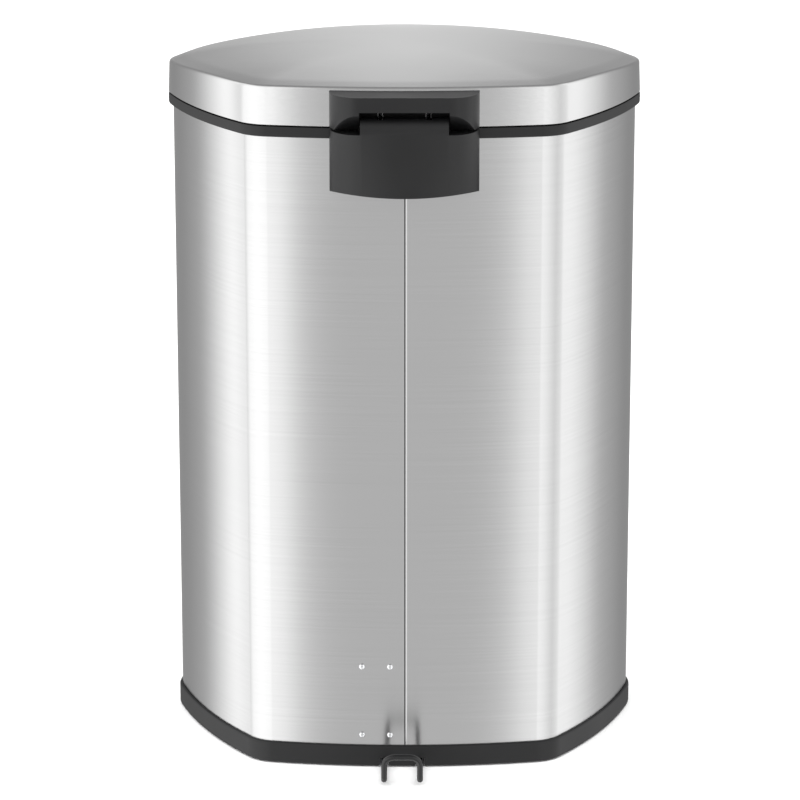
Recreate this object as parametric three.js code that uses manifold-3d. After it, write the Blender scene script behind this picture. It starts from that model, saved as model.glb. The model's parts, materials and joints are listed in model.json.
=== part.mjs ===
// Pedal trash can, bow-fronted, stainless shell with black plastic trim. Millimetres, +Z up.
// The pedal faces -Y, the hinge is at +Y, and +X is to the right of someone who stands at the pedal.
import * as THREE from "three";
import { mergeVertices } from "three/addons/utils/BufferGeometryUtils.js";
import Module from "manifold-3d";

// ---- Driving dimensions ----
const WIDTH = 410; // over the collar and lid
const DEPTH = 337.7; // the same, front to back, without hinge, hoop and pedal
const GAP = 0.3; // between pieces that touch

// Footprint: round stretches from the middle of the back to the middle of the front.
const BACK_ARC = { radius: 607.6, turn: 10.91, steps: 3 };
const BACK_BEND = { radius: 36, turn: 42.46, steps: 5 };
const SIDE_ARC = { radius: 411.8, turn: 20.8, steps: 4 };
const SIDE_BEND = { radius: 55.2, turn: 33.83, steps: 4 };
const FRONT_STEPS = 9;
const DEEPEST_TRUE_INSET = 9; // deeper rings keep the footprint's shape instead of its wall distance

// Heights
const BASE_UNDERSIDE = 1;
const BASE_TOP = 19.4;
const FLOOR_UNDERSIDE = 42;
const COLLAR_BOTTOM = 551.8;
const COLLAR_TOP = 561;
const LID_BOTTOM = 562;
const SKIRT_TOP = 592;
const LID_EDGE = 595.2;
const LID_CROWN = 12; // rise of the lid's middle above its edge at the hinge
const RIM_DROP = 6.4; // the lid's edge is this much lower at the sides and front
const RIM_LEVEL_TO = 50; // it is level this far from the back
const RIM_LOW_FROM = 205;

// Walls
const SHELL_INSET = 4; // the shell stands this far inside the collar
const BASE_INSET = 1.5; // and the base moulding this far
const SHELL_WALL = 0.8;
const BASE_LEDGE = 24; // width of the base moulding's underside
const MOULDED_WALL = 2.5;
const COLLAR_FLANGE = 20;
const COLLAR_SKIRT = 13;
const LINER_INSET = 2.1;
const LINER_PANEL_Z = 588;

// Hinge
const HINGE_HALF_WIDTH = 62;
const HINGE_FLAT_HALF = 38; // half the straight stretch of its outer face
const HINGE_DEPTH = 32.7; // its outer face, behind the collar
const HOUSING_BOTTOM = 508.5;
const HOUSING_TOP = 561.5;
const COVER_BOTTOM = 563.5;
const COVER_TOP = 592.3;
const NOTCH_HALF = 37;
const NOTCH_TOP = 580;
const NOTCH_WALL = 2.8; // the notch stops this far from the lid
const COVER_CHAMFER = 14; // under the cover's outer edge
const BARREL_RADIUS = 9.5;
const BARREL_TOP = 574.5;
const TONGUE_SIDE_GAP = 0.7;
const HINGE_PIN_RADIUS = 2.5;
const BRACKET_ARM_X = 20;
const BRACKET_GAUGE = 3;

// Lifting mechanism
const PUSH_ROD_X = 14;
const PUSH_ROD_RADIUS = 2.5;
const ROD_TO_SHELL = 11.3; // rod axis to the footprint's back edge, less the shell inset
const CRANK_RADIUS = 18.5;
const CRANK_REST = 37.5; // degrees below level
const CRANK_PIN_RADIUS = 2;
const ROD_HOOK_Z = 23.2;
const LEVER_PIVOT_SETBACK = 104; // behind the front of the base moulding
const LEVER_PIVOT_Z = 9;
const LEVER_BOTTOM = 14;
const LEVER_GAUGE = 3;
const LEVER_HALF = 12;
const PIVOT_ROD_RADIUS = 3;
const PEDAL_HALF = 42;
const PEDAL_REACH = 48; // in front of the base moulding
const PEDAL_DEPTH = 36;
const PEDAL_UNDERSIDE = 24;
const PEDAL_GAUGE = 2;
const PAD_THICKNESS = 2.6;

// Damper and its riveted bracket
const BRACKET_X = 24.5;
const BRACKET_HALF = 18;
const RIVET_PITCH_X = 24.1;
const RIVET_LOW = 28.8;
const RIVET_HIGH = 90.8;
const RIVET_SHANK = 2;
const RIVET_HEAD = 2.7;
const DAMPER_X = BRACKET_X;
const DAMPER_RADIUS = 6;
const DAMPER_BOTTOM = 24;
const DAMPER_TOP = 82;
const DAMPER_LINK_Z = 112;

// Rear hoop
const HOOP_X = 2;
const HOOP_HALF = 15.3;
const HOOP_WIRE = 2.5;
const HOOP_DEPTH = 43.5; // axis of its upright legs, behind the collar
const HOOP_TOP = 26;
const HOOP_GROUND_GAP = 2.5;

// Bucket
const BUCKET_RIM_OUTER = 10.5;
const BUCKET_RIM_INNER = 24;
const BUCKET_TOP_INSET = 22;
const BUCKET_FOOT_INSET = 31;
const BUCKET_BOTTOM = 47;
const BUCKET_WALL = 1.8;
const RIM_THICKNESS = 2;
const BAIL_RADIUS = 2;
const BAIL_INSET = 17;

const SIDES = 10; // facets round a wire or a small cylinder

// ---- Materials ----
const finish = (color, roughness, metalness) =>
  new THREE.MeshStandardMaterial({ color, roughness, metalness });
const BRUSHED_STEEL = finish(0xc6c6c4, 0.32, 1);
const ZINC_STEEL = finish(0xa9adb0, 0.42, 1);
const BLACK_PLASTIC = finish(0x2b2b2c, 0.5, 0);
const GREY_PLASTIC = finish(0x4a4b4d, 0.5, 0);
const BLACK_RUBBER = finish(0x1c1c1c, 0.85, 0);
const COATED_WIRE = finish(0x181818, 0.35, 0);

// ---- Solids ----
const wasm = await Module();
wasm.setup();

function toSolid(geometry) {
  const bare = geometry.clone();
  bare.deleteAttribute("normal");
  bare.deleteAttribute("uv");
  const merged = mergeVertices(bare, 1e-4);
  return new wasm.Manifold(
    new wasm.Mesh({
      numProp: 3,
      vertProperties: merged.attributes.position.array,
      triVerts: new Uint32Array(merged.index.array),
    }),
  );
}

function toGeometry(solid) {
  const mesh = solid.getMesh();
  const geometry = new THREE.BufferGeometry();
  geometry.setAttribute("position", new THREE.BufferAttribute(mesh.vertProperties, 3));
  geometry.setIndex(new THREE.BufferAttribute(mesh.triVerts, 1));
  geometry.computeVertexNormals();
  return geometry;
}

const join = (first, ...others) =>
  toGeometry(others.reduce((sum, g) => sum.add(toSolid(g)), toSolid(first)));
const cut = (first, ...others) =>
  toGeometry(others.reduce((rest, g) => rest.subtract(toSolid(g)), toSolid(first)));
const common = (first, other) => toGeometry(toSolid(first).intersect(toSolid(other)));

function block(x0, x1, y0, y1, z0, z1) {
  const geometry = new THREE.BoxGeometry(x1 - x0, y1 - y0, z1 - z0);
  return geometry.translate((x0 + x1) / 2, (y0 + y1) / 2, (z0 + z1) / 2);
}

// Cylinder between two heights, or between two places along X or Y.
function post(radius, x, y, z0, z1, sides = SIDES) {
  const geometry = new THREE.CylinderGeometry(radius, radius, z1 - z0, sides);
  return geometry.rotateX(Math.PI / 2).translate(x, y, (z0 + z1) / 2);
}

function barX(radius, x0, x1, y, z, sides = SIDES) {
  const geometry = new THREE.CylinderGeometry(radius, radius, x1 - x0, sides);
  return geometry.rotateZ(-Math.PI / 2).translate((x0 + x1) / 2, y, z);
}

function barY(radius, x, y0, y1, z, sides = SIDES) {
  const geometry = new THREE.CylinderGeometry(radius, radius, y1 - y0, sides);
  return geometry.translate(x, (y0 + y1) / 2, z);
}

// A flat outline in X and Y, raised from z0 to z1.
function slab(shape, z0, z1) {
  const geometry = new THREE.ExtrudeGeometry(shape, { depth: z1 - z0, bevelEnabled: false });
  return geometry.translate(0, 0, z0);
}

// An outline drawn in Y and Z, carried along X.
function sideways(shape, x0, x1, curveSegments = 6) {
  const options = { depth: x1 - x0, bevelEnabled: false, curveSegments };
  const geometry = new THREE.ExtrudeGeometry(shape, options);
  const turned = new THREE.Matrix4().makeBasis(
    new THREE.Vector3(0, 1, 0),
    new THREE.Vector3(0, 0, 1),
    new THREE.Vector3(1, 0, 0),
  );
  return geometry.applyMatrix4(turned).translate(x0, 0, 0);
}

const polygon = (points) => new THREE.Shape(points.map(([a, b]) => new THREE.Vector2(a, b)));

// ---- Footprint ----
function footprintOf(width, depth) {
  const half = [];
  let x = 0;
  let y = 0;
  let heading = 0;
  const follow = (radius, turn, steps) => {
    const from = heading;
    const [x0, y0] = [x, y];
    for (let i = 1; i <= steps; i++) {
      heading = from + (turn * i) / steps;
      x = x0 + radius * (Math.sin(heading) - Math.sin(from));
      y = y0 + radius * (Math.cos(heading) - Math.cos(from));
      half.push([x, y]);
    }
  };
  half.push([0, 0]);
  for (const arc of [BACK_ARC, BACK_BEND, SIDE_ARC, SIDE_BEND])
    follow(arc.radius, THREE.MathUtils.degToRad(arc.turn), arc.steps);
  follow(x / Math.sin(heading), Math.PI - heading, FRONT_STEPS);
  const widest = half.reduce((best, p) => (p[0] > best[0] ? p : best));
  const scaleX = width / 2 / widest[0];
  const scaleY = depth / -half.at(-1)[1];
  const right = half.map(([px, py]) => [px * scaleX, (py - widest[1]) * scaleY]);
  right[right.length - 1][0] = 0;
  const left = right.slice(1, -1).map(([px, py]) => [-px, py]);
  return right.concat(left.reverse()); // clockwise from the middle of the back
}

const FOOTPRINT = footprintOf(WIDTH, DEPTH);
const BACK = FOOTPRINT[0][1];
const FRONT = BACK - DEPTH;
const MIDDLE = (BACK + FRONT) / 2;
const SEGMENTS = FOOTPRINT.length;

// The footprint's point i, moved inwards by inset, or shrunk to a share of its size.
function footprintPoint(i, { inset, share }) {
  const [x, y] = FOOTPRINT[i % SEGMENTS];
  if (share !== undefined) return [x * share, MIDDLE + (y - MIDDLE) * share];
  if (inset > DEEPEST_TRUE_INSET)
    return [x * (1 - inset / (WIDTH / 2)), MIDDLE + (y - MIDDLE) * (1 - inset / (DEPTH / 2))];
  const [ax, ay] = FOOTPRINT[(i + SEGMENTS - 1) % SEGMENTS];
  const [bx, by] = FOOTPRINT[(i + 1) % SEGMENTS];
  const length = Math.hypot(bx - ax, by - ay);
  return [x + ((by - ay) / length) * inset, y - ((bx - ax) / length) * inset];
}

// A profile of { inset or share, z } points carried round the footprint.
function around(profile) {
  const closed = profile[0].share === 0 ? profile : profile.concat([profile[0]]);
  const drawn = closed.map((p, j) => new THREE.Vector2(p.share === 0 ? 0 : j + 1, p.z));
  const geometry = new THREE.LatheGeometry(drawn, SEGMENTS);
  const positions = geometry.attributes.position;
  for (let i = 0; i <= SEGMENTS; i++)
    closed.forEach((p, j) => {
      const [x, y] = footprintPoint(i, p);
      positions.setXYZ(i * closed.length + j, x, y, p.z);
    });
  return geometry;
}

// A flat plate of the footprint's shape, from the middle out to an inset.
function plate(inset, z0, z1) {
  const points = FOOTPRINT.map((_, i) => footprintPoint(i, { inset }));
  return slab(polygon(points.reverse()), z0, z1);
}

// ---- Wires ----
// A path that turns only at its listed points, so a long straight takes one step.
class Route extends THREE.Curve {
  constructor(points) {
    super();
    this.points = points;
  }
  getPoint(t) {
    const at = t * (this.points.length - 1);
    const i = Math.min(Math.floor(at), this.points.length - 2);
    return this.points[i].clone().lerp(this.points[i + 1], at - i);
  }
  getTangent(t) {
    const i = Math.round(t * (this.points.length - 1));
    const before = this.points[i].clone().sub(this.points[Math.max(i - 1, 0)]);
    const after = this.points[Math.min(i + 1, this.points.length - 1)].clone().sub(this.points[i]);
    return before.normalize().add(after.normalize()).normalize();
  }
  getPointAt(t) {
    return this.getPoint(t);
  }
  getTangentAt(t) {
    return this.getTangent(t);
  }
}

// Corners of a bent wire, each given a round bend.
function bent(corners, bend, stepsPerBend = 4) {
  const points = [corners[0]];
  for (let i = 1; i < corners.length - 1; i++) {
    const into = corners[i - 1].clone().sub(corners[i]).setLength(bend).add(corners[i]);
    const out = corners[i + 1].clone().sub(corners[i]).setLength(bend).add(corners[i]);
    const curve = new THREE.QuadraticBezierCurve3(into, corners[i], out);
    points.push(...curve.getPoints(stepsPerBend));
  }
  return points.concat([corners.at(-1)]);
}

function wire(points, radius, sides = 8) {
  const section = new THREE.Shape();
  for (let i = 0; i < sides; i++) {
    const angle = (2 * Math.PI * i) / sides;
    const place = [radius * Math.cos(angle), radius * Math.sin(angle)];
    if (i === 0) section.moveTo(...place);
    else section.lineTo(...place);
  }
  const options = { steps: points.length - 1, extrudePath: new Route(points), bevelEnabled: false };
  return new THREE.ExtrudeGeometry(section, options);
}

// ---- Assembly ----
const can = new THREE.Group();

function add(name, geometry, material) {
  const mesh = new THREE.Mesh(geometry, material);
  mesh.name = name;
  can.add(mesh);
  return mesh;
}

// Places that several pieces share
const HINGE_REACH = BACK + HINGE_DEPTH;
const HOOP_REACH = BACK + HOOP_DEPTH;
const LEVER_PIVOT_Y = FRONT + LEVER_PIVOT_SETBACK;
const SHELL_BACK = BACK - SHELL_INSET;
const SHELL_INNER_BACK = SHELL_BACK - SHELL_WALL;
const ROD_Y = SHELL_BACK - ROD_TO_SHELL;
const AXIS_Y = HINGE_REACH - BARREL_RADIUS;
const AXIS_Z = BARREL_TOP - BARREL_RADIUS;
const CRANK_ANGLE = THREE.MathUtils.degToRad(CRANK_REST);
const CRANK_Y = AXIS_Y - CRANK_RADIUS * Math.cos(CRANK_ANGLE);
const CRANK_Z = AXIS_Z - CRANK_RADIUS * Math.sin(CRANK_ANGLE);
const LEVER_TOP = LEVER_BOTTOM + LEVER_GAUGE;
const FLOOR_TOP = FLOOR_UNDERSIDE + MOULDED_WALL;
const HOOP_ARMS = [HOOP_X - HOOP_HALF, HOOP_X + HOOP_HALF];
const HOOP_FLOOR_Z = HOOP_WIRE + HOOP_GROUND_GAP;
const CLAMP_Y = BACK - 58;
const CLAMPED_Z = 10;
const DAMPER_Y = SHELL_INNER_BACK - DAMPER_RADIUS - 3;
const ROD_JOG = [512.5, 530]; // where the push rod steps out through the shell
const SHELL_SLOT = [ROD_JOG[0] + 1, ROD_JOG[1] + 20];

// Width of the gap in the base that the lever works in, and its height at the front.
const LEVER_SLOT_HALF = LEVER_HALF + 4;
const LEVER_SLOT_TOP = LEVER_TOP + 1.4;

function baseMoulding() {
  const outer = SHELL_INSET - GAP;
  const ledgeTop = BASE_UNDERSIDE + 3;
  const body = around([
    { inset: BASE_INSET + 1.5, z: BASE_UNDERSIDE },
    { inset: BASE_LEDGE, z: BASE_UNDERSIDE },
    { inset: BASE_LEDGE, z: FLOOR_UNDERSIDE + 1 },
    { inset: BASE_LEDGE - MOULDED_WALL, z: FLOOR_UNDERSIDE + 1 },
    { inset: BASE_LEDGE - MOULDED_WALL, z: ledgeTop },
    { inset: outer, z: ledgeTop },
    { inset: outer, z: BASE_TOP },
    { inset: BASE_INSET + 1, z: BASE_TOP },
    { inset: BASE_INSET, z: BASE_TOP - 1.2 },
    { inset: BASE_INSET, z: BASE_UNDERSIDE + 2 },
  ]);
  const floor = plate(BASE_LEDGE - 1, FLOOR_UNDERSIDE, FLOOR_TOP);
  const ribs = [-1, 1].map((side) => {
    const near = LEVER_HALF + 8;
    const x = side * (near + 4);
    return block(x - 4, x + 4, LEVER_PIVOT_Y - 8, LEVER_PIVOT_Y + 8, 3.5, FLOOR_UNDERSIDE + 1);
  });
  const bosses = HOOP_ARMS.map((x, i) => {
    const boss = x + (i ? 8 : -8);
    return block(boss - 6, boss + 6, CLAMP_Y - 7, CLAMP_Y + 7, CLAMPED_Z - 1, FLOOR_UNDERSIDE + 1);
  });
  const pivotHole = barX(PIVOT_ROD_RADIUS + GAP, -60, 60, LEVER_PIVOT_Y, LEVER_PIVOT_Z, 12);
  const leverSlot = block(-LEVER_SLOT_HALF, LEVER_SLOT_HALF, FRONT - 5, FRONT + 40, 0, LEVER_SLOT_TOP);
  const rodSlot = block(-16, PUSH_ROD_X + 12, ROD_Y - 15, ROD_Y - 3, ledgeTop + GAP, FLOOR_TOP + 5);
  const armGrooves = HOOP_ARMS.map((x) =>
    barY(HOOP_WIRE + GAP, x, CLAMP_Y - 12, CLAMP_Y + 12, CLAMPED_Z, 12),
  );
  const screwHoles = HOOP_ARMS.map((x, i) =>
    post(1.5 + GAP, x + (i ? 9 : -9), CLAMP_Y, CLAMPED_Z - 5, CLAMPED_Z + 14),
  );
  const whole = join(body, floor, ...ribs, ...bosses);
  return cut(
    whole,
    pivotHole,
    leverSlot,
    rodSlot,
    ...hoopNotches(),
    ...armGrooves,
    ...screwHoles,
    ...footPockets(),
  );
}

// The hoop's arms leave the can along the ground.
function hoopNotches() {
  const half = HOOP_WIRE + 1.5;
  return HOOP_ARMS.map((x) =>
    block(x - half, x + half, BACK - 45, BACK + 5, 0, HOOP_FLOOR_Z + HOOP_WIRE + 1),
  );
}

// Feet sit in pockets in the base moulding's underside.
const FOOT_RADIUS = 8;
const FOOT_PLACES = {
  foot_back_left: [-120, BACK - 25],
  foot_back_right: [120, BACK - 25],
  foot_front_left: [-118, FRONT + 50],
  foot_front_right: [118, FRONT + 50],
};

function footPockets() {
  return Object.values(FOOT_PLACES).map(([x, y]) =>
    post(FOOT_RADIUS + GAP, x, y, 0, BASE_UNDERSIDE + 1.5, 16),
  );
}

function outerShell() {
  const bottom = BASE_UNDERSIDE + 3 + GAP;
  const top = COLLAR_TOP - MOULDED_WALL - GAP;
  const wall = around([
    { inset: SHELL_INSET + SHELL_WALL, z: bottom },
    { inset: SHELL_INSET + SHELL_WALL, z: top },
    { inset: SHELL_INSET, z: top },
    { inset: SHELL_INSET, z: bottom },
  ]);
  const slotHalf = PUSH_ROD_RADIUS + 2;
  const openings = [
    block(-LEVER_SLOT_HALF, LEVER_SLOT_HALF, FRONT, FRONT + 15, 0, LEVER_SLOT_TOP + 0.5),
    block(PUSH_ROD_X - slotHalf, PUSH_ROD_X + slotHalf, BACK - 20, BACK + 5, ...SHELL_SLOT),
    ...hoopNotches(),
    ...rivetPlaces().map(([x, z]) => barY(RIVET_SHANK + GAP, x, BACK - 20, BACK + 5, z)),
    ...housingScrewPlaces().map(([x, z]) => barY(1.5 + GAP, x, BACK - 20, BACK + 5, z)),
  ];
  return cut(wall, ...openings);
}

function topCollar() {
  const lip = SHELL_INSET - GAP;
  const inner = SHELL_INSET + SHELL_WALL + GAP;
  const under = COLLAR_TOP - MOULDED_WALL;
  const ring = around([
    { inset: 0.8, z: COLLAR_BOTTOM },
    { inset: lip, z: COLLAR_BOTTOM },
    { inset: lip, z: under },
    { inset: inner, z: under },
    { inset: inner, z: COLLAR_TOP - COLLAR_SKIRT },
    { inset: inner + MOULDED_WALL, z: COLLAR_TOP - COLLAR_SKIRT },
    { inset: inner + MOULDED_WALL, z: under },
    { inset: COLLAR_FLANGE, z: under },
    { inset: COLLAR_FLANGE, z: COLLAR_TOP },
    { inset: 0.8, z: COLLAR_TOP },
    { inset: 0, z: COLLAR_TOP - 0.8 },
    { inset: 0, z: COLLAR_BOTTOM + 0.8 },
  ]);
  return ring;
}

// How far out the hinge reaches at x: a straight outer face with elliptical ends.
function hingeDepth(x, shrink) {
  const across = HINGE_HALF_WIDTH - HINGE_FLAT_HALF - shrink;
  const past = Math.max(Math.abs(x) - HINGE_FLAT_HALF, 0) / across;
  return (HINGE_DEPTH - shrink) * Math.sqrt(Math.max(1 - past * past, 0));
}

// The same at the housing's lower end, where it is drawn in to a shallow arc.
function bowedDepth(x, shrink) {
  const share = x / (HINGE_HALF_WIDTH - shrink);
  return (HINGE_DEPTH - shrink) * (1 - share * share);
}

// The hinge's plan between two heights. A bowed block changes to the arc at its lower end.
function hingeBlock(shrink, z0, z1, bowed = false) {
  const half = HINGE_HALF_WIDTH - shrink;
  const steps = 18;
  const edge = [];
  for (let i = 0; i <= steps; i++) edge.push(half * Math.cos((Math.PI * i) / steps));
  const rim = edge.map((x) => [x, BACK + hingeDepth(x, shrink)]);
  const geometry = slab(polygon([[half, BACK - 20], ...rim, [-half, BACK - 20]]), z0, z1);
  if (!bowed) return geometry;
  const places = geometry.attributes.position;
  for (let i = 0; i < places.count; i++) {
    const isLow = places.getZ(i) < z0 + 0.01 && places.getY(i) > BACK - 1;
    if (isLow) places.setY(i, BACK + bowedDepth(places.getX(i), shrink));
  }
  return geometry;
}

function housingScrewPlaces() {
  return [-46, 46].map((x) => [x, HOUSING_BOTTOM + 22]);
}

function hingeHousing() {
  const wall = MOULDED_WALL;
  const tongueHalf = NOTCH_HALF - TONGUE_SIDE_GAP;
  const body = hingeBlock(0, HOUSING_BOTTOM, HOUSING_TOP, true);
  // The tongue: straight outer face, round top about the hinge axis.
  const tongue = new THREE.Shape();
  tongue.moveTo(BACK + 1, HOUSING_TOP - 5);
  tongue.lineTo(HINGE_REACH - 3, HOUSING_TOP - 5);
  tongue.lineTo(HINGE_REACH, HOUSING_TOP);
  tongue.lineTo(HINGE_REACH, AXIS_Z);
  tongue.absarc(AXIS_Y, AXIS_Z, BARREL_RADIUS, 0, THREE.MathUtils.degToRad(100), false);
  tongue.lineTo(AXIS_Y - 8, AXIS_Z - 1);
  tongue.lineTo(BACK + 1, AXIS_Z - 3.5);
  const hollow = new THREE.Shape();
  hollow.moveTo(BACK - 10, HOUSING_BOTTOM + wall);
  hollow.lineTo(HINGE_REACH - wall, HOUSING_BOTTOM + wall);
  hollow.lineTo(HINGE_REACH - wall, AXIS_Z);
  hollow.absarc(AXIS_Y, AXIS_Z, BARREL_RADIUS - wall, 0, THREE.MathUtils.degToRad(100), false);
  hollow.lineTo(AXIS_Y - 6, BARREL_TOP + 5);
  hollow.lineTo(BACK - 10, BARREL_TOP + 5);
  const whole = join(body, sideways(tongue, -tongueHalf, tongueHalf, 5));
  // One room inside the lower body, with a rib under each side of the tongue, and one inside the tongue.
  const bodyRoom = hingeBlock(wall, HOUSING_BOTTOM + wall, HOUSING_TOP - wall, true);
  const ribs = [-tongueHalf, tongueHalf - wall].map((x) =>
    block(x, x + wall, BACK - 25, HINGE_REACH + 5, HOUSING_BOTTOM, HOUSING_TOP),
  );
  const tongueRoom = cut(
    sideways(hollow, -tongueHalf + wall, tongueHalf - wall, 5),
    block(-NOTCH_HALF, NOTCH_HALF, BACK - 25, HINGE_REACH + 5, HOUSING_BOTTOM, HOUSING_TOP - 5),
  );
  const bosses = housingScrewPlaces().map(([x, z]) =>
    common(barY(4.5, x, BACK - 8, HINGE_REACH, z, 12), hingeBlock(0.5, HOUSING_BOTTOM, HOUSING_TOP, true)),
  );
  const armSlots = [-1, 1].map((side) => {
    const x = side * BRACKET_ARM_X;
    const half = BRACKET_GAUGE / 2 + 1;
    return block(x - half, x + half, BACK - 5, AXIS_Y + 4.5, AXIS_Z + 2, BARREL_TOP + 5);
  });
  const opened = cut(whole, tongueRoom, cut(bodyRoom, ...ribs));
  const bossed = join(opened, ...bosses);
  return cut(
    bossed,
    ...armSlots,
    ...housingScrewPlaces().map(([x, z]) => barY(1.5 + GAP, x, BACK - 20, BACK + 12, z)),
    barX(HINGE_PIN_RADIUS + GAP, -tongueHalf - 1, tongueHalf + 1, AXIS_Y, AXIS_Z, 12),
    plate(SHELL_INSET - GAP, HOUSING_BOTTOM - 5, HOUSING_TOP + 5),
    plate(-GAP, COLLAR_BOTTOM - GAP, HOUSING_TOP + 5),
  );
}

// The stretch of X that the cover is cut from, chamfered under its outer edge.
function coverSection(shrink) {
  const bottom = COVER_BOTTOM + shrink;
  const face = HINGE_REACH - shrink;
  const chamfer = COVER_CHAMFER + shrink * (Math.SQRT2 - 1);
  return polygon([
    [BACK - 25, bottom],
    [HINGE_REACH - chamfer, bottom],
    [face, COVER_BOTTOM + chamfer],
    [face, COVER_TOP - shrink],
    [BACK - 25, COVER_TOP - shrink],
  ]);
}

const COVER_SCREWS = [
  [-46, COVER_BOTTOM + 12],
  [46, COVER_BOTTOM + 12],
  [-28, COVER_BOTTOM + 21],
  [28, COVER_BOTTOM + 21],
];

function hingeCover() {
  const wall = MOULDED_WALL;
  const outside = common(
    hingeBlock(0, COVER_BOTTOM, COVER_TOP),
    sideways(coverSection(0), -HINGE_HALF_WIDTH - 5, HINGE_HALF_WIDTH + 5),
  );
  const inside = common(
    hingeBlock(wall, COVER_BOTTOM, COVER_TOP),
    sideways(coverSection(wall), -HINGE_HALF_WIDTH, HINGE_HALF_WIDTH),
  );
  const notch = block(
    -NOTCH_HALF,
    NOTCH_HALF,
    BACK + NOTCH_WALL,
    HINGE_REACH + 5,
    COVER_BOTTOM - 5,
    NOTCH_TOP,
  );
  const notchSkin = block(
    -NOTCH_HALF - wall,
    NOTCH_HALF + wall,
    BACK - 30,
    HINGE_REACH + 5,
    COVER_BOTTOM - 5,
    NOTCH_TOP + wall,
  );
  const shellOnly = cut(outside, cut(inside, notchSkin), notch);
  const bosses = COVER_SCREWS.map(([x, z]) =>
    common(barY(3.6, x, BACK - 5, HINGE_REACH, z), hingeBlock(0.5, COVER_BOTTOM, COVER_TOP)),
  );
  return cut(
    join(shellOnly, ...bosses),
    plate(-GAP, COVER_BOTTOM - 5, COVER_TOP + 5),
    ...armPassages(),
    ...COVER_SCREWS.map(([x, z]) => barY(1.5 + GAP, x, BACK - 10, BACK + 11, z)),
  );
}

function hingeBracket() {
  const backPlate = common(
    around([
      { inset: LINER_INSET + MOULDED_WALL + GAP, z: LID_BOTTOM + 5 },
      { inset: LINER_INSET + MOULDED_WALL + GAP + 1.5, z: LID_BOTTOM + 5 },
      { inset: LINER_INSET + MOULDED_WALL + GAP + 1.5, z: LINER_PANEL_Z - 1 },
      { inset: LINER_INSET + MOULDED_WALL + GAP, z: LINER_PANEL_Z - 1 },
    ]),
    block(-54, 54, BACK - 20, BACK, LID_BOTTOM, LID_EDGE),
  );
  const rootY = BACK - LINER_INSET - MOULDED_WALL - GAP - 1;
  const armShape = (withCrank) => {
    const points = [
      [rootY, LID_BOTTOM + 6],
      [rootY, LID_BOTTOM + 14],
      [AXIS_Y - 2, AXIS_Z + 4],
      [AXIS_Y + 2.8, AXIS_Z + 2.8],
      [AXIS_Y + 4, AXIS_Z],
      [AXIS_Y + 2.8, AXIS_Z - 2.8],
      [AXIS_Y - 2, AXIS_Z - 4.2],
    ];
    const crank = [
      [CRANK_Y + 1.5, CRANK_Z - 4],
      [CRANK_Y - 2.5, CRANK_Z - 3],
      [CRANK_Y - 3.5, CRANK_Z + 1.5],
      [CRANK_Y + 1, CRANK_Z + 8.5],
    ];
    return polygon(points.concat(withCrank ? crank : []).reverse());
  };
  const half = BRACKET_GAUGE / 2;
  const leftArm = sideways(armShape(false), -BRACKET_ARM_X - half, -BRACKET_ARM_X + half);
  const rightArm = sideways(armShape(true), BRACKET_ARM_X - half, BRACKET_ARM_X + half);
  const crankPin = barX(CRANK_PIN_RADIUS, PUSH_ROD_X - 5, BRACKET_ARM_X, CRANK_Y, CRANK_Z);
  return cut(
    join(backPlate, leftArm, rightArm, crankPin),
    barX(HINGE_PIN_RADIUS + GAP, -40, 40, AXIS_Y, AXIS_Z, 12),
    ...COVER_SCREWS.map(([x, z]) => barY(1.5 + GAP, x, BACK - 20, BACK, z)),
  );
}

// Slots in the lid's skirt and liner that the bracket's arms pass through.
function armPassages() {
  return [-1, 1].map((side) => {
    const half = BRACKET_GAUGE / 2 + 1;
    const x = side * BRACKET_ARM_X;
    return block(x - half, x + half, BACK - 6, BACK + 5, LID_BOTTOM - 5, LID_BOTTOM + 16);
  });
}

function coverScrewHoles() {
  return COVER_SCREWS.map(([x, z]) => barY(1.5 + GAP, x, BACK - 20, BACK + 5, z));
}

// Lets the lid's top run down from the hinge to the sides; the skirt's foot and the crown stay.
function lowerRim(geometry) {
  const foot = LID_BOTTOM + 4;
  const places = geometry.attributes.position;
  for (let i = 0; i < places.count; i++) {
    const z = places.getZ(i);
    const lowered = 1 - THREE.MathUtils.smoothstep(places.getY(i), BACK - RIM_LOW_FROM, BACK - RIM_LEVEL_TO);
    const follows = z > LID_EDGE ? 1 - (z - LID_EDGE) / LID_CROWN : Math.max((z - foot) / (LID_EDGE - foot), 0);
    places.setZ(i, z - RIM_DROP * lowered * follows);
  }
  return geometry;
}

function lidSkin() {
  const wall = SHELL_WALL;
  const domed = [0.96, 0.8, 0.6, 0.35, 0];
  const height = (share) => LID_EDGE + LID_CROWN * (1 - share ** 3);
  const outside = domed.map((share) => ({ share, z: height(share) })).reverse();
  const inside = domed.map((share) => ({ share, z: height(share) - wall }));
  const skin = around([
    ...outside,
    { inset: 3.4, z: LID_EDGE },
    { inset: 1.7, z: LID_EDGE - 1 },
    { inset: 0.9, z: SKIRT_TOP },
    { inset: 0, z: LID_BOTTOM },
    { inset: wall, z: LID_BOTTOM },
    { inset: 0.9 + wall, z: SKIRT_TOP },
    { inset: 3.4, z: LID_EDGE - 1 },
    ...inside,
  ]);
  return cut(lowerRim(skin), ...armPassages(), ...coverScrewHoles());
}

function lidLiner() {
  const pan = around([
    { inset: LINER_INSET, z: LID_BOTTOM + 4 },
    { inset: LINER_INSET, z: LINER_PANEL_Z + MOULDED_WALL },
    { inset: LINER_INSET + MOULDED_WALL, z: LINER_PANEL_Z + MOULDED_WALL },
    { inset: LINER_INSET + MOULDED_WALL, z: LID_BOTTOM + 4 },
  ].reverse());
  const panel = plate(LINER_INSET + 1, LINER_PANEL_Z, LINER_PANEL_Z + MOULDED_WALL);
  return cut(join(lowerRim(pan), lowerRim(panel)), ...armPassages(), ...coverScrewHoles());
}

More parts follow.
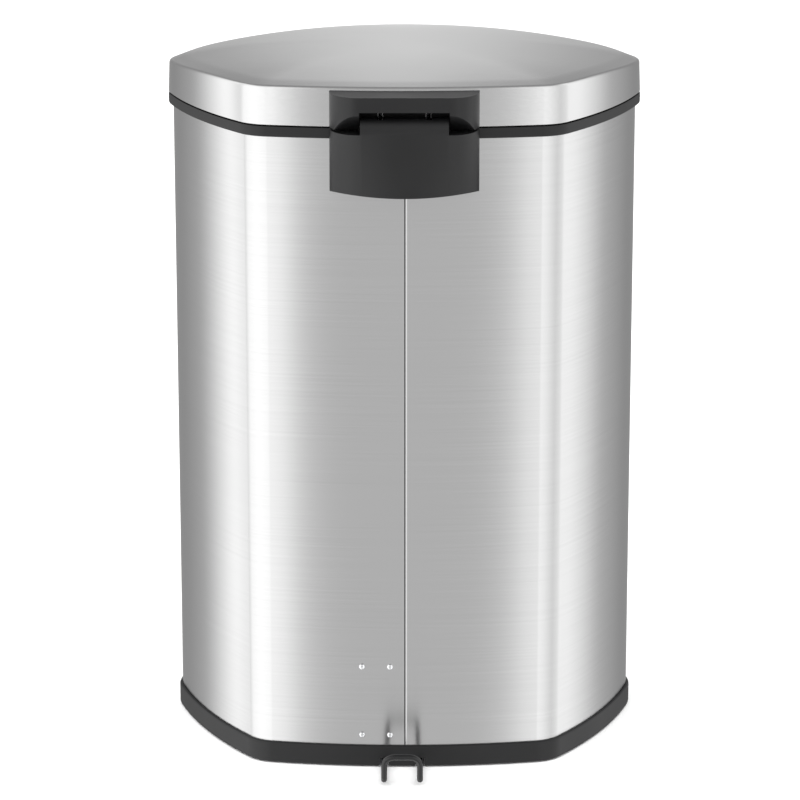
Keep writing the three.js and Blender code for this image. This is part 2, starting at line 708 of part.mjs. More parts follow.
// Push rod: hooked into the lever, straight up the back wall, then out to the crank through the shell.
function pushRod() {
  const corner = (x, y, z) => new THREE.Vector3(x, y, z);
  const route = bent(
    [
      corner(-6, ROD_Y, ROD_HOOK_Z),
      corner(PUSH_ROD_X, ROD_Y, ROD_HOOK_Z),
      corner(PUSH_ROD_X, ROD_Y, ROD_JOG[0]),
      corner(PUSH_ROD_X, CRANK_Y, ROD_JOG[1]),
      corner(PUSH_ROD_X, CRANK_Y, CRANK_Z - 5),
    ],
    6,
  );
  return wire(route, PUSH_ROD_RADIUS);
}

function rodEnd() {
  const half = 3.6;
  const body = block(PUSH_ROD_X - half, PUSH_ROD_X + half, CRANK_Y - 8, CRANK_Y + 6, CRANK_Z - 11, CRANK_Z + 6);
  const slotHeight = CRANK_PIN_RADIUS + 0.9;
  const slot = block(
    PUSH_ROD_X - 5,
    PUSH_ROD_X + 5,
    CRANK_Y - CRANK_RADIUS * (1 - Math.cos(CRANK_ANGLE)) - CRANK_PIN_RADIUS - 0.6,
    CRANK_Y + CRANK_PIN_RADIUS + 0.6,
    CRANK_Z - slotHeight,
    CRANK_Z + slotHeight,
  );
  const socket = post(PUSH_ROD_RADIUS + GAP, PUSH_ROD_X, CRANK_Y, CRANK_Z - 15, CRANK_Z - 5 + GAP, 12);
  return cut(body, slot, socket);
}

function pedalLever() {
  const half = LEVER_HALF;
  const risen = PEDAL_UNDERSIDE - LEVER_GAUGE - GAP;
  const pedalFront = FRONT - PEDAL_REACH + 8;
  const pedalBack = FRONT - 14;
  const profile = polygon([
    [pedalFront, risen],
    [pedalBack, risen],
    [FRONT - 6, LEVER_BOTTOM],
    [ROD_Y + 5, LEVER_BOTTOM],
    [ROD_Y + 5, LEVER_TOP],
    [FRONT - 4, LEVER_TOP],
    [pedalBack + 1, risen + LEVER_GAUGE],
    [pedalFront, risen + LEVER_GAUGE],
  ]);
  const strip = sideways(profile, -half, half);
  const ears = [-1, 1].map((side) => {
    const inner = side > 0 ? half - LEVER_GAUGE : -half;
    return block(inner, inner + LEVER_GAUGE, LEVER_PIVOT_Y - 8, LEVER_PIVOT_Y + 8, 4, LEVER_BOTTOM + 1);
  });
  const tabX = 4;
  const tab = block(tabX, tabX + LEVER_GAUGE, ROD_Y - 7, ROD_Y + 8, LEVER_TOP - 1, ROD_HOOK_Z + 7);
  const hookSlot = block(
    tabX - 1,
    tabX + LEVER_GAUGE + 1,
    ROD_Y - PUSH_ROD_RADIUS - 0.8,
    ROD_Y + PUSH_ROD_RADIUS + 3.4,
    ROD_HOOK_Z - PUSH_ROD_RADIUS - 0.7,
    ROD_HOOK_Z + PUSH_ROD_RADIUS + 0.7,
  );
  return cut(
    join(strip, ...ears, tab),
    hookSlot,
    barX(PIVOT_ROD_RADIUS + GAP, -half - 2, half + 2, LEVER_PIVOT_Y, LEVER_PIVOT_Z, 12),
    ...pedalRivetPlaces().map(([x, y]) => post(RIVET_SHANK + GAP, x, y, risen - 2, PEDAL_UNDERSIDE + 2)),
  );
}

function pedalRivetPlaces() {
  return [-7, 7].map((x) => [x, FRONT - PEDAL_REACH + 18]);
}

function pedalOutline(shrink) {
  const front = FRONT - PEDAL_REACH + shrink;
  const back = front + PEDAL_DEPTH - 2 * shrink;
  const half = PEDAL_HALF - shrink;
  const corner = 9;
  const shape = new THREE.Shape();
  shape.moveTo(-half, back);
  shape.lineTo(-half, front + corner);
  shape.absarc(-half + corner, front + corner, corner, Math.PI, 1.5 * Math.PI, false);
  shape.lineTo(half - corner, front);
  shape.absarc(half - corner, front + corner, corner, 1.5 * Math.PI, 2 * Math.PI, false);
  shape.lineTo(half, back);
  return shape;
}

function pedalPlate() {
  const options = { depth: PEDAL_GAUGE, bevelEnabled: false, curveSegments: 4 };
  const flat = new THREE.ExtrudeGeometry(pedalOutline(0), options);
  const lip = new THREE.ExtrudeGeometry(pedalOutline(0), { ...options, depth: 8 });
  const inner = new THREE.ExtrudeGeometry(pedalOutline(PEDAL_GAUGE), { ...options, depth: 9 });
  const back = FRONT - PEDAL_REACH + PEDAL_DEPTH;
  const edge = cut(lip, inner.translate(0, 0, -0.5), block(-60, 60, back - 12, back + 2, -1, 9));
  const whole = join(flat, edge.translate(0, 0, PEDAL_GAUGE - 8));
  return cut(
    whole.translate(0, 0, PEDAL_UNDERSIDE),
    ...pedalRivetPlaces().map(([x, y]) => post(RIVET_SHANK + GAP, x, y, 15, 40)),
  );
}

function pedalPad() {
  const bottom = PEDAL_UNDERSIDE + PEDAL_GAUGE + GAP;
  const options = { depth: PAD_THICKNESS, bevelEnabled: false, curveSegments: 4 };
  const pad = new THREE.ExtrudeGeometry(pedalOutline(3), options).translate(0, 0, bottom);
  const grooves = [-26, -13, 0, 13, 26].map((x) => {
    const top = bottom + PAD_THICKNESS;
    return block(x - 1, x + 1, FRONT - PEDAL_REACH + 7, FRONT - PEDAL_REACH + PEDAL_DEPTH - 7, top - 1, top + 1);
  });
  const rivetRoom = pedalRivetPlaces().map(([x, y]) => post(RIVET_HEAD + GAP, x, y, bottom - 1, bottom + 1.6));
  return cut(pad, ...grooves, ...rivetRoom);
}

// A rivet or screw drawn along Z from its shank's end to its head, then laid along a direction.
function fastener(shank, length, head, headHeight, tail = shank) {
  return new THREE.LatheGeometry(
    [
      [0, 0],
      [tail, 0],
      [tail, tail === shank ? 1 : 2],
      [shank, tail === shank ? 1.2 : 2.4],
      [shank, length],
      [head, length],
      [head * 0.85, length + headHeight * 0.6],
      [head * 0.4, length + headHeight],
      [0, length + headHeight],
    ].map(([r, z]) => new THREE.Vector2(r, z)),
    SIDES,
  ).rotateX(Math.PI / 2);
}

// The back wall at a distance x from the middle: how far back an inset face is, and which way it turns.
function backWallAt(x, inset) {
  const ring = FOOTPRINT.slice(0, 6).map((_, i) => footprintPoint(i, { inset }));
  const next = ring.findIndex(([px]) => px > Math.abs(x));
  const [[ax, ay], [bx, by]] = [ring[next - 1], ring[next]];
  const y = ay + ((by - ay) * (Math.abs(x) - ax)) / (bx - ax);
  return { y, turn: Math.sign(x) * Math.atan2(ay - by, bx - ax) };
}

function rivetPlaces() {
  const left = BRACKET_X - RIVET_PITCH_X / 2;
  return [RIVET_LOW, RIVET_HIGH].flatMap((z) => [
    [left, z],
    [left + RIVET_PITCH_X, z],
  ]);
}

function damperBracket() {
  const inner = SHELL_INSET + SHELL_WALL + GAP;
  const backPlate = common(
    around([
      { inset: inner, z: RIVET_LOW - 7 },
      { inset: inner + 1.2, z: RIVET_LOW - 7 },
      { inset: inner + 1.2, z: RIVET_HIGH + 7 },
      { inset: inner, z: RIVET_HIGH + 7 },
    ]),
    block(BRACKET_X - BRACKET_HALF, BRACKET_X + BRACKET_HALF, BACK - 20, BACK, 0, 120),
  );
  const shelves = [
    [DAMPER_BOTTOM - 1.8, DAMPER_BOTTOM - GAP],
    [DAMPER_TOP + GAP, DAMPER_TOP + 1.8],
  ].map(([z0, z1]) => block(DAMPER_X - 7, DAMPER_X + 7, DAMPER_Y - 6, SHELL_INNER_BACK - 2, z0, z1));
  return cut(
    join(backPlate, ...shelves),
    post(2.6, DAMPER_X, DAMPER_Y, DAMPER_TOP - 2, DAMPER_TOP + 5),
    ...rivetPlaces().map(([x, z]) => barY(RIVET_SHANK + GAP, x, BACK - 20, BACK + 5, z)),
  );
}

function damperCylinder() {
  const bore = DAMPER_RADIUS - 1.6;
  return new THREE.LatheGeometry(
    [
      [0, DAMPER_BOTTOM],
      [DAMPER_RADIUS, DAMPER_BOTTOM],
      [DAMPER_RADIUS, DAMPER_TOP],
      [2.5, DAMPER_TOP],
      [2.5, DAMPER_TOP - 3],
      [bore, DAMPER_TOP - 3],
      [bore, DAMPER_BOTTOM + 2],
      [0, DAMPER_BOTTOM + 2],
    ].map(([r, z]) => new THREE.Vector2(r, z)),
    14,
  ).rotateX(Math.PI / 2);
}

function damperPiston() {
  const bore = DAMPER_RADIUS - 1.6;
  return new THREE.LatheGeometry(
    [
      [0, DAMPER_BOTTOM + 20],
      [bore - GAP, DAMPER_BOTTOM + 20],
      [bore - GAP, DAMPER_BOTTOM + 26],
      [2, DAMPER_BOTTOM + 26],
      [2, DAMPER_LINK_Z + 2],
      [0, DAMPER_LINK_Z + 2],
    ].map(([r, z]) => new THREE.Vector2(r, z)),
    SIDES,
  ).rotateX(Math.PI / 2);
}

function damperLink() {
  const body = block(PUSH_ROD_X - 5, DAMPER_X + 5, ROD_Y - 5, ROD_Y + 5, DAMPER_LINK_Z - 4, DAMPER_LINK_Z + 4);
  return cut(
    body,
    post(PUSH_ROD_RADIUS + GAP, PUSH_ROD_X, ROD_Y, DAMPER_LINK_Z - 6, DAMPER_LINK_Z + 6, 12),
    post(2 + GAP, DAMPER_X, DAMPER_Y, DAMPER_LINK_Z - 6, DAMPER_LINK_Z + 2 + GAP, 12),
  );
}

// Wire hoop: clamped under the floor, along the ground through the base moulding, then up and across.
function rearHoop() {
  const [left, right] = HOOP_ARMS;
  const corner = (x, y, z) => new THREE.Vector3(x, y, z);
  const shoulder = 6;
  const arm = (x) => [
    corner(x, CLAMP_Y - 10, CLAMPED_Z),
    corner(x, CLAMP_Y + 14, CLAMPED_Z),
    corner(x, CLAMP_Y + 27, HOOP_FLOOR_Z),
    corner(x, HOOP_REACH, HOOP_FLOOR_Z),
    corner(x, HOOP_REACH, HOOP_TOP - 4),
  ];
  const route = bent(
    [
      ...arm(left),
      corner(left + shoulder, HOOP_REACH, HOOP_TOP),
      corner(right - shoulder, HOOP_REACH, HOOP_TOP),
      ...arm(right).reverse(),
    ],
    3,
    3,
  );
  return wire(route, HOOP_WIRE);
}

function hoopClamp() {
  const [left, right] = HOOP_ARMS;
  const top = CLAMPED_Z - HOOP_WIRE - GAP;
  const strap = block(left - 14, right + 14, CLAMP_Y - 7, CLAMP_Y + 7, top - 1.5, top);
  return cut(strap, ...HOOP_ARMS.map((x, i) => post(1.5 + GAP, x + (i ? 9 : -9), CLAMP_Y, top - 4, top + 3)));
}

function innerBucket() {
  const rimBottom = COLLAR_TOP + GAP;
  const rimTop = rimBottom + RIM_THICKNESS;
  const pail = around([
    { share: 0, z: BUCKET_BOTTOM },
    { inset: BUCKET_FOOT_INSET + 4, z: BUCKET_BOTTOM },
    { inset: BUCKET_FOOT_INSET, z: BUCKET_BOTTOM + 5 },
    { inset: BUCKET_TOP_INSET, z: rimBottom },
    { inset: BUCKET_RIM_OUTER, z: rimBottom },
    { inset: BUCKET_RIM_OUTER, z: rimTop },
    { inset: BUCKET_RIM_INNER, z: rimTop },
    { inset: BUCKET_FOOT_INSET + BUCKET_WALL, z: BUCKET_BOTTOM + 6 },
    { inset: BUCKET_FOOT_INSET + 5, z: BUCKET_BOTTOM + BUCKET_WALL },
    { share: 0, z: BUCKET_BOTTOM + BUCKET_WALL },
  ].reverse());
  const ears = [-1, 1].map((side) => {
    const inner = side * (WIDTH / 2 - BUCKET_RIM_INNER);
    const outer = inner + side * 3.4;
    return block(Math.min(inner, outer), Math.max(inner, outer), -6, 6, rimBottom + 0.5, rimTop + 8);
  });
  const bailHole = barX(BAIL_RADIUS + GAP, -WIDTH / 2, WIDTH / 2, 0, bailZ(), 12);
  return cut(join(pail, ...ears), bailHole);
}

function bailZ() {
  return COLLAR_TOP + GAP + RIM_THICKNESS + GAP + BAIL_RADIUS;
}

// Points of the front half of the footprint, from the right side to the left.
function frontHalf(inset) {
  const places = FOOTPRINT.map((_, i) => footprintPoint(i, { inset }));
  return places.filter(([, y]) => y < -3).map(([x, y]) => new THREE.Vector3(x, y, bailZ()));
}

function bailHandle() {
  const end = WIDTH / 2 - BUCKET_RIM_INNER - 4;
  const side = WIDTH / 2 - BAIL_INSET;
  const turn = side - 4;
  const route = [
    new THREE.Vector3(end, 0, bailZ()),
    new THREE.Vector3(turn, 0, bailZ()),
    new THREE.Vector3(side - 1.2, -1.2, bailZ()),
    ...frontHalf(BAIL_INSET),
    new THREE.Vector3(-side + 1.2, -1.2, bailZ()),
    new THREE.Vector3(-turn, 0, bailZ()),
    new THREE.Vector3(-end, 0, bailZ()),
  ];
  return wire(route, BAIL_RADIUS);
}

function pivotRod() {
  return barX(PIVOT_ROD_RADIUS, -34, 34, LEVER_PIVOT_Y, LEVER_PIVOT_Z);
}

function rubberFoot() {
  return post(FOOT_RADIUS, 0, 0, 0, BASE_UNDERSIDE + 1.5 - GAP, 14);
}

function lidBuffer() {
  const height = LID_BOTTOM + 4 - COLLAR_TOP - 2 * GAP;
  const dome = [
    [0, 0],
    [3, 0],
    [3, height * 0.6],
    [1.8, height],
    [0, height],
  ].map(([r, z]) => new THREE.Vector2(r, z));
  return new THREE.LatheGeometry(dome, SIDES).rotateX(Math.PI / 2);
}

add("base_moulding", baseMoulding(), BLACK_PLASTIC);
add("outer_shell", outerShell(), BRUSHED_STEEL);
add("top_collar", topCollar(), BLACK_PLASTIC);
add("hinge_housing", hingeHousing(), BLACK_PLASTIC);
add("hinge_cover", hingeCover(), BLACK_PLASTIC);
add("hinge_bracket", hingeBracket(), ZINC_STEEL);
add(
  "hinge_pin",
  barX(HINGE_PIN_RADIUS, TONGUE_SIDE_GAP - NOTCH_HALF, NOTCH_HALF - TONGUE_SIDE_GAP, AXIS_Y, AXIS_Z),
  ZINC_STEEL,
);
add("lid_skin", lidSkin(), BRUSHED_STEEL);
add("lid_liner", lidLiner(), BLACK_PLASTIC);
add("push_rod", pushRod(), ZINC_STEEL);
add("rod_end", rodEnd(), GREY_PLASTIC);
add("pedal_lever", pedalLever(), ZINC_STEEL);
add("pedal_plate", pedalPlate(), BRUSHED_STEEL);
add("pedal_pad", pedalPad(), BLACK_RUBBER);
add("pivot_rod", pivotRod(), ZINC_STEEL);
add("damper_bracket", damperBracket(), ZINC_STEEL);
add("damper_cylinder", damperCylinder(), GREY_PLASTIC).position.set(DAMPER_X, DAMPER_Y, 0);
add("damper_piston", damperPiston(), ZINC_STEEL).position.set(DAMPER_X, DAMPER_Y, 0);
add("damper_link", damperLink(), GREY_PLASTIC);
add("rear_hoop", rearHoop(), COATED_WIRE);
add("hoop_clamp", hoopClamp(), ZINC_STEEL);
add("inner_bucket", innerBucket(), GREY_PLASTIC);
add("bail_handle", bailHandle(), ZINC_STEEL);

rivetPlaces().forEach(([x, z], i) => {
  const length = SHELL_WALL + 3 * GAP + 1.2 + 2.6;
  const rivet = fastener(RIVET_SHANK, length, RIVET_HEAD, 1.6, RIVET_SHANK + 0.8);
  const mesh = add(`bracket_rivet_${i + 1}`, rivet, ZINC_STEEL);
  const { y, turn } = backWallAt(x, SHELL_INSET);
  mesh.rotation.set(-Math.PI / 2, 0, -turn, "ZXY");
  mesh.position.set(x - (length - GAP) * Math.sin(turn), y - (length - GAP) * Math.cos(turn), z);
});

housingScrewPlaces().forEach(([x, z], i) => {
  const mesh = add(`housing_screw_${i + 1}`, fastener(1.5, 14, 3.2, 2), ZINC_STEEL);
  mesh.rotation.x = Math.PI / 2;
  mesh.position.set(x, backWallAt(x, SHELL_INSET + SHELL_WALL).y - 2 * GAP + 14, z);
});

COVER_SCREWS.forEach(([x, z], i) => {
  const screw = fastener(1.5, 14, 3.2, 2);
  const mesh = add(`cover_screw_${i + 1}`, screw, ZINC_STEEL);
  mesh.rotation.x = Math.PI / 2;
  mesh.position.set(x, backWallAt(x, LINER_INSET + MOULDED_WALL + GAP + 1.5).y - 2 * GAP + 14, z);
});

HOOP_ARMS.forEach((x, i) => {
  const screw = fastener(1.5, 11, 3.2, 2);
  const mesh = add(`clamp_screw_${i + 1}`, screw, ZINC_STEEL);
  mesh.rotation.x = Math.PI;
  mesh.position.set(x + (i ? 9 : -9), CLAMP_Y, CLAMPED_Z - HOOP_WIRE - GAP - 1.5 - GAP + 11);
});

pedalRivetPlaces().forEach(([x, y], i) => {
  const length = LEVER_GAUGE + PEDAL_GAUGE + 3 * GAP + 2.4;
  const rivet = fastener(RIVET_SHANK, length, RIVET_HEAD - 0.2, 1.2, RIVET_SHANK + 0.8);
  const mesh = add(`pedal_rivet_${i + 1}`, rivet, ZINC_STEEL);
  mesh.position.set(x, y, PEDAL_UNDERSIDE + PEDAL_GAUGE + GAP - length);
});

for (const [name, [x, y]] of Object.entries(FOOT_PLACES))
  add(name, rubberFoot(), BLACK_RUBBER).position.set(x, y, 0);

const BUFFER_INSET = 5.6;
const BUFFER_PLACES = {
  lid_buffer_left: [BUFFER_INSET - WIDTH / 2, 0],
  lid_buffer_right: [WIDTH / 2 - BUFFER_INSET, 0],
  lid_buffer_front: [0, FRONT + BUFFER_INSET],
};
for (const [name, [x, y]] of Object.entries(BUFFER_PLACES))
  add(name, lidBuffer(), BLACK_RUBBER).position.set(x, y, COLLAR_TOP + GAP);

// The origin is on the ground, below the middle of the can's overall length and width.
const rearReach = HOOP_REACH + HOOP_WIRE;
const frontReach = FRONT - PEDAL_REACH;
can.position.y = -(rearReach + frontReach) / 2;

export default can;
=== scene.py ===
import json
import math

import bmesh
import bpy
from mathutils import Matrix, Vector


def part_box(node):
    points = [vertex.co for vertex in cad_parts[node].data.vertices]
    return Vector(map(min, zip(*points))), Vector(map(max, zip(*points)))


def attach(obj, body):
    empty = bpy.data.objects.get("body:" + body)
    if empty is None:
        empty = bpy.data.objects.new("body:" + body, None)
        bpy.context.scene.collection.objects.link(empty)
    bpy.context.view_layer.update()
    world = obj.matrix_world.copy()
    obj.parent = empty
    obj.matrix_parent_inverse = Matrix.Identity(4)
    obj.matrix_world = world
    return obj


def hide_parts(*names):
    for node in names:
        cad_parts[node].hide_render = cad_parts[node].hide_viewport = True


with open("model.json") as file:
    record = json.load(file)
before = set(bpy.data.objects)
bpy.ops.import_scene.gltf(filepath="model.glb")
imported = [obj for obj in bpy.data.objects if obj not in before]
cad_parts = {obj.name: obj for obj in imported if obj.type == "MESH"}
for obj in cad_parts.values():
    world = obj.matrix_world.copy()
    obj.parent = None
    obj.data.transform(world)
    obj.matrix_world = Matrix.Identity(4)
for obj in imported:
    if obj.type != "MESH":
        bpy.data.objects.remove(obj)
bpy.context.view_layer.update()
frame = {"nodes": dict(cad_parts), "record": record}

# Lengths are millimetres while a piece is shaped, and metres once it is an object.
# The pedal faces -Y, the hinge is at +Y.
MM = 0.001


def sides_of(node):
    """Lowest and highest corner of a CAD node, in millimetres."""
    low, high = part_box(node)
    return low / MM, high / MM


BASE_LOW = sides_of("base_moulding")[0]
COLLAR_LOW, COLLAR_HIGH = sides_of("top_collar")
COVER_LOW, COVER_HIGH = sides_of("hinge_cover")
HOUSING_LOW = sides_of("hinge_housing")[0]
SHELL_LOW, SHELL_HIGH = sides_of("outer_shell")
LID_LOW, LID_HIGH = sides_of("lid_skin")
LINER_LOW, LINER_HIGH = sides_of("lid_liner")
PIN_LOW, PIN_HIGH = sides_of("hinge_pin")

BACK = COLLAR_HIGH.y
FRONT = COLLAR_LOW.y
MIDDLE = (BACK + FRONT) / 2
HALF_WIDTH = COLLAR_HIGH.x
AXIS_Y = (PIN_LOW.y + PIN_HIGH.y) / 2
AXIS_Z = (PIN_LOW.z + PIN_HIGH.z) / 2
REACH = COVER_HIGH.y

# Footprint: radius, turn in degrees and steps of each round stretch from the back to the side.
BACK_ARC = (607.6, 10.91, 10)
BACK_BEND = (36.0, 42.46, 14)
SIDE_ARC = (411.8, 20.8, 12)
SIDE_BEND = (55.2, 33.83, 12)
FRONT_STEPS = 34
DEEPEST_TRUE_INSET = 9.0  # deeper rings keep the footprint's shape

# Each wall's distance inside the footprint, and the thicknesses.
SHELL_INSET = 4.0
BASE_INSET = 1.5
SHELL_GAUGE = 0.8
MOULDED_WALL = 2.5
GAP = 0.3  # clearance between pieces that fit together
CUT = 5  # how far a cutting block runs past what it cuts

# Lid
LID_EDGE = 595.2  # where the rolled edge ends and the dome starts, along the hinge
RIM_DROP = 6.4  # the rim is this much lower at the sides and front
LEVEL_TO = BACK - 50  # the rim is level from the hinge to here
LOW_FROM = BACK - 205
LEVEL_FOOT = 4.0  # this much of the skirt's foot isn't lowered
SKIRT_TOP = 592.0
LID_INSET = 3.4  # of the dome's rim

# Hinge
HINGE_HALF = COVER_HIGH.x
HINGE_FLAT_HALF = 38.0
NOTCH_HALF = 37.0
NOTCH_TOP = 580.0
NOTCH_WALL = 2.8
COVER_CHAMFER = 14.0
BARREL_RADIUS = 9.5
TONGUE_HALF = 36.3
ARM_SIDES = (-20, 20)  # the hinge bracket's two arms
ARM_ROOM = 2.5

# Hoop, and the rod and lever that run under and behind the shell
HOOP_X = 2.0
HOOP_ARM = 15.3
HOOP_SIDES = (HOOP_X - HOOP_ARM, HOOP_X + HOOP_ARM)
HOOP_WIRE = 2.5
HOOP_FLOOR_Z = 5.0
HOOP_TOP = 26.0
HOOP_BEND = 3.2
HOOP_BACK = 43.5  # how far behind the can it stands
LEVER_HALF = 16
ROD_X = 14
ROD_WIRE = 2.5

SHARP = math.radians(33)  # an edge that turns by more stays a sharp line in the shading


# ---- Shaping ----

def footprint(bm, inset, z):
    """A closed loop of edges at height z: arcs spun from the back's middle to the front's, then mirrored."""
    squeeze = inset if inset > DEEPEST_TRUE_INSET else 0.0
    inset -= squeeze
    known = set(bm.edges)
    last = bmesh.ops.create_vert(bm, co=(0, BACK - inset, z))["vert"][0]
    heading = 0.0
    centre = Vector((0, BACK - BACK_ARC[0], z))
    radius = BACK_ARC[0]
    for arc_radius, turn, steps in (BACK_ARC, BACK_BEND, SIDE_ARC, SIDE_BEND):
        outwards = Vector((math.sin(heading), math.cos(heading), 0))
        centre = centre + outwards * (radius - arc_radius)
        radius = arc_radius
        last = turn_about(bm, last, centre, math.radians(turn), steps)
        heading += math.radians(turn)
    front_radius = radius + centre.x / math.sin(heading)
    outwards = Vector((math.sin(heading), math.cos(heading), 0))
    centre = centre + outwards * (radius - front_radius)
    turn_about(bm, last, centre, math.pi - heading, FRONT_STEPS)
    edges = [e for e in bm.edges if e not in known]
    verts = list({v for e in edges for v in e.verts})
    bmesh.ops.mirror(bm, geom=verts + edges, matrix=Matrix.Identity(4), merge_dist=0.01, axis="X")
    edges = [e for e in bm.edges if e not in known]
    verts = list({v for e in edges for v in e.verts})
    if squeeze:
        shrink = Vector((1 - squeeze / HALF_WIDTH, 1 - squeeze / ((BACK - FRONT) / 2), 1))
        about = Matrix.Translation((0, -MIDDLE, 0))
        bmesh.ops.scale(bm, vec=shrink, space=about, verts=verts)
    return edges


def turn_about(bm, vert, centre, angle, steps):
    """Spins a vertex clockwise about a centre, leaves edges behind it and gives the last vertex."""
    spun = bmesh.ops.spin(
        bm, geom=[vert], cent=centre, axis=(0, 0, 1), dvec=(0, 0, 0), angle=-angle,
        steps=steps, use_merge=False, use_normal_flip=False, use_duplicate=False,
    )
    return [v for v in spun["geom_last"] if isinstance(v, bmesh.types.BMVert)][0]


def around(profile, closed=True):
    """Carries a profile of (inset, height) points round the footprint."""
    bm = bmesh.new()
    loops = [footprint(bm, inset, z) for inset, z in profile]
    pairs = list(zip(loops, loops[1:]))
    if closed:
        pairs.append((loops[-1], loops[0]))
    for a, b in pairs:
        bmesh.ops.bridge_loops(bm, edges=a + b)
    bmesh.ops.recalc_face_normals(bm, faces=bm.faces)
    return bm


def slab(inset, z0, z1):
    """A solid plate of the footprint's shape."""
    bm = bmesh.new()
    edges = footprint(bm, inset, z0)
    bmesh.ops.contextual_create(bm, geom=edges)
    raise_faces(bm, z1 - z0)
    return bm


def raise_faces(bm, height, axis=2):
    """Turns flat faces into a solid of this height."""
    grown = bmesh.ops.extrude_face_region(bm, geom=list(bm.faces))
    offset = Vector((0, 0, 0))
    offset[axis] = height
    verts = [v for v in grown["geom"] if isinstance(v, bmesh.types.BMVert)]
    bmesh.ops.translate(bm, vec=offset, verts=verts)
    bmesh.ops.recalc_face_normals(bm, faces=bm.faces)


def block(x0, x1, y0, y1, z0, z1):
    """A box between two limits on each axis."""
    bm = bmesh.new()
    bmesh.ops.create_cube(bm, size=1)
    bmesh.ops.scale(bm, vec=(x1 - x0, y1 - y0, z1 - z0), verts=bm.verts)
    bmesh.ops.translate(bm, vec=((x0 + x1) / 2, (y0 + y1) / 2, (z0 + z1) / 2), verts=bm.verts)
    return bm


def rod(radius, start, end, sides=32):
    """A cylinder from one point to another."""
    bm = bmesh.new()
    start, end = Vector(start), Vector(end)
    way = end - start
    bmesh.ops.create_cone(
        bm, cap_ends=True, segments=sides, radius1=radius, radius2=radius, depth=way.length,
    )
    turned = way.to_track_quat("Z", "Y").to_matrix()
    bmesh.ops.rotate(bm, cent=(0, 0, 0), matrix=turned, verts=bm.verts)
    bmesh.ops.translate(bm, vec=(start + end) / 2, verts=bm.verts)
    return bm


def turned(profile, steps=32):
    """A solid of revolution about Z from (radius, height) points."""
    bm = bmesh.new()
    verts = [bmesh.ops.create_vert(bm, co=(r, 0, z))["vert"][0] for r, z in profile]
    edges = [bm.edges.new(pair) for pair in zip(verts, verts[1:])]
    bmesh.ops.spin(
        bm, geom=verts + edges, cent=(0, 0, 0), axis=(0, 0, 1), dvec=(0, 0, 0),
        angle=2 * math.pi, steps=steps, use_merge=True, use_normal_flip=False, use_duplicate=False,
    )
    bmesh.ops.remove_doubles(bm, verts=bm.verts, dist=0.001)
    bmesh.ops.recalc_face_normals(bm, faces=bm.faces)
    return bm


def drawn(outline, x0, x1):
    """An outline of (y, z) points, carried along X."""
    bm = bmesh.new()
    verts = [bmesh.ops.create_vert(bm, co=(x0, y, z))["vert"][0] for y, z in outline]
    bmesh.ops.contextual_create(bm, geom=verts)
    raise_faces(bm, x1 - x0, axis=0)
    return bm


def merged(*parts):
    """Several bmeshes as one."""
    whole = parts[0]
    for part in parts[1:]:
        mesh = bpy.data.meshes.new("part")
        part.to_mesh(mesh)
        part.free()
        whole.from_mesh(mesh)
        bpy.data.meshes.remove(mesh)
    return whole


def stand_in(bm):
    """A passing object for a modifier to read."""
    mesh = bpy.data.meshes.new("stand_in")
    bm.to_mesh(mesh)
    bm.free()
    made = bpy.data.objects.new("stand_in", mesh)
    bpy.context.scene.collection.objects.link(made)
    return made


def combined(bm, *tools, operation="DIFFERENCE"):
    """The bmesh after each tool's space is taken out, kept or added."""
    whole = stand_in(bm)
    others = [stand_in(t) for t in tools]
    for other in others:
        step = whole.modifiers.new("step", "BOOLEAN")
        step.operation = operation
        step.solver = "EXACT"
        step.object = other
    graph = bpy.context.evaluated_depsgraph_get()
    mesh = bpy.data.meshes.new_from_object(whole.evaluated_get(graph))
    result = bmesh.new()
    result.from_mesh(mesh)
    bpy.data.meshes.remove(mesh)
    for made in [whole, *others]:
        data = made.data
        bpy.data.objects.remove(made)
        bpy.data.meshes.remove(data)
    bmesh.ops.remove_doubles(result, verts=result.verts, dist=0.002)
    return result


def round_edges(bm, edges, width, segments):
    bmesh.ops.bevel(
        bm, geom=edges, offset=width, offset_type="OFFSET", affect="EDGES", segments=segments,
        profile=0.5, material=-1, clamp_overlap=True,
    )


TOP_SLOPE = 0.8  # a face whose normal is steeper counts as a top
WALL_RADIUS = 0.2  # metres, which turns a bearing into a length round the wall


def lay_grain(bm):
    """UVs in metres. The grain runs level round a wall, and along X on a top."""
    layer = bm.loops.layers.uv.new("grain")
    for face in bm.faces:
        on_top = abs(face.normal.z) > TOP_SLOPE
        angles = [math.atan2(-loop.vert.co.x, -loop.vert.co.y) for loop in face.loops]
        wraps = max(angles) - min(angles) > math.pi
        for loop, angle in zip(face.loops, angles):
            place = loop.vert.co
            if wraps and angle < 0:
                angle += 2 * math.pi
            loop[layer].uv = (place.x, place.y) if on_top else (angle * WALL_RADIUS, place.z)


def piece(name, bm, material, body, slot, *replaced, soften=0.0, even=True):
    """Makes the bmesh an object that rides on a CAD body and stands for the named CAD nodes."""
    bmesh.ops.scale(bm, vec=(MM, MM, MM), verts=bm.verts)
    lay_grain(bm)
    for face in bm.faces:
        face.smooth = True
    for edge in bm.edges:
        edge.smooth = len(edge.link_faces) == 2 and edge.calc_face_angle() < SHARP
    mesh = bpy.data.meshes.new(name)
    bm.to_mesh(mesh)
    bm.free()
    made = bpy.data.objects.new(name, mesh)
    bpy.context.scene.collection.objects.link(made)
    mesh.materials.append(material)
    if soften:
        edge = made.modifiers.new("soft_edges", "BEVEL")
        edge.width = soften * MM
        edge.segments = 3
        edge.limit_method = "ANGLE"
        edge.angle_limit = SHARP
        edge.harden_normals = True
    if even:
        even_out = made.modifiers.new("even_shading", "WEIGHTED_NORMAL")
        even_out.keep_sharp = True
    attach(made, body)
    if replaced:
        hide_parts(*replaced)
    return made


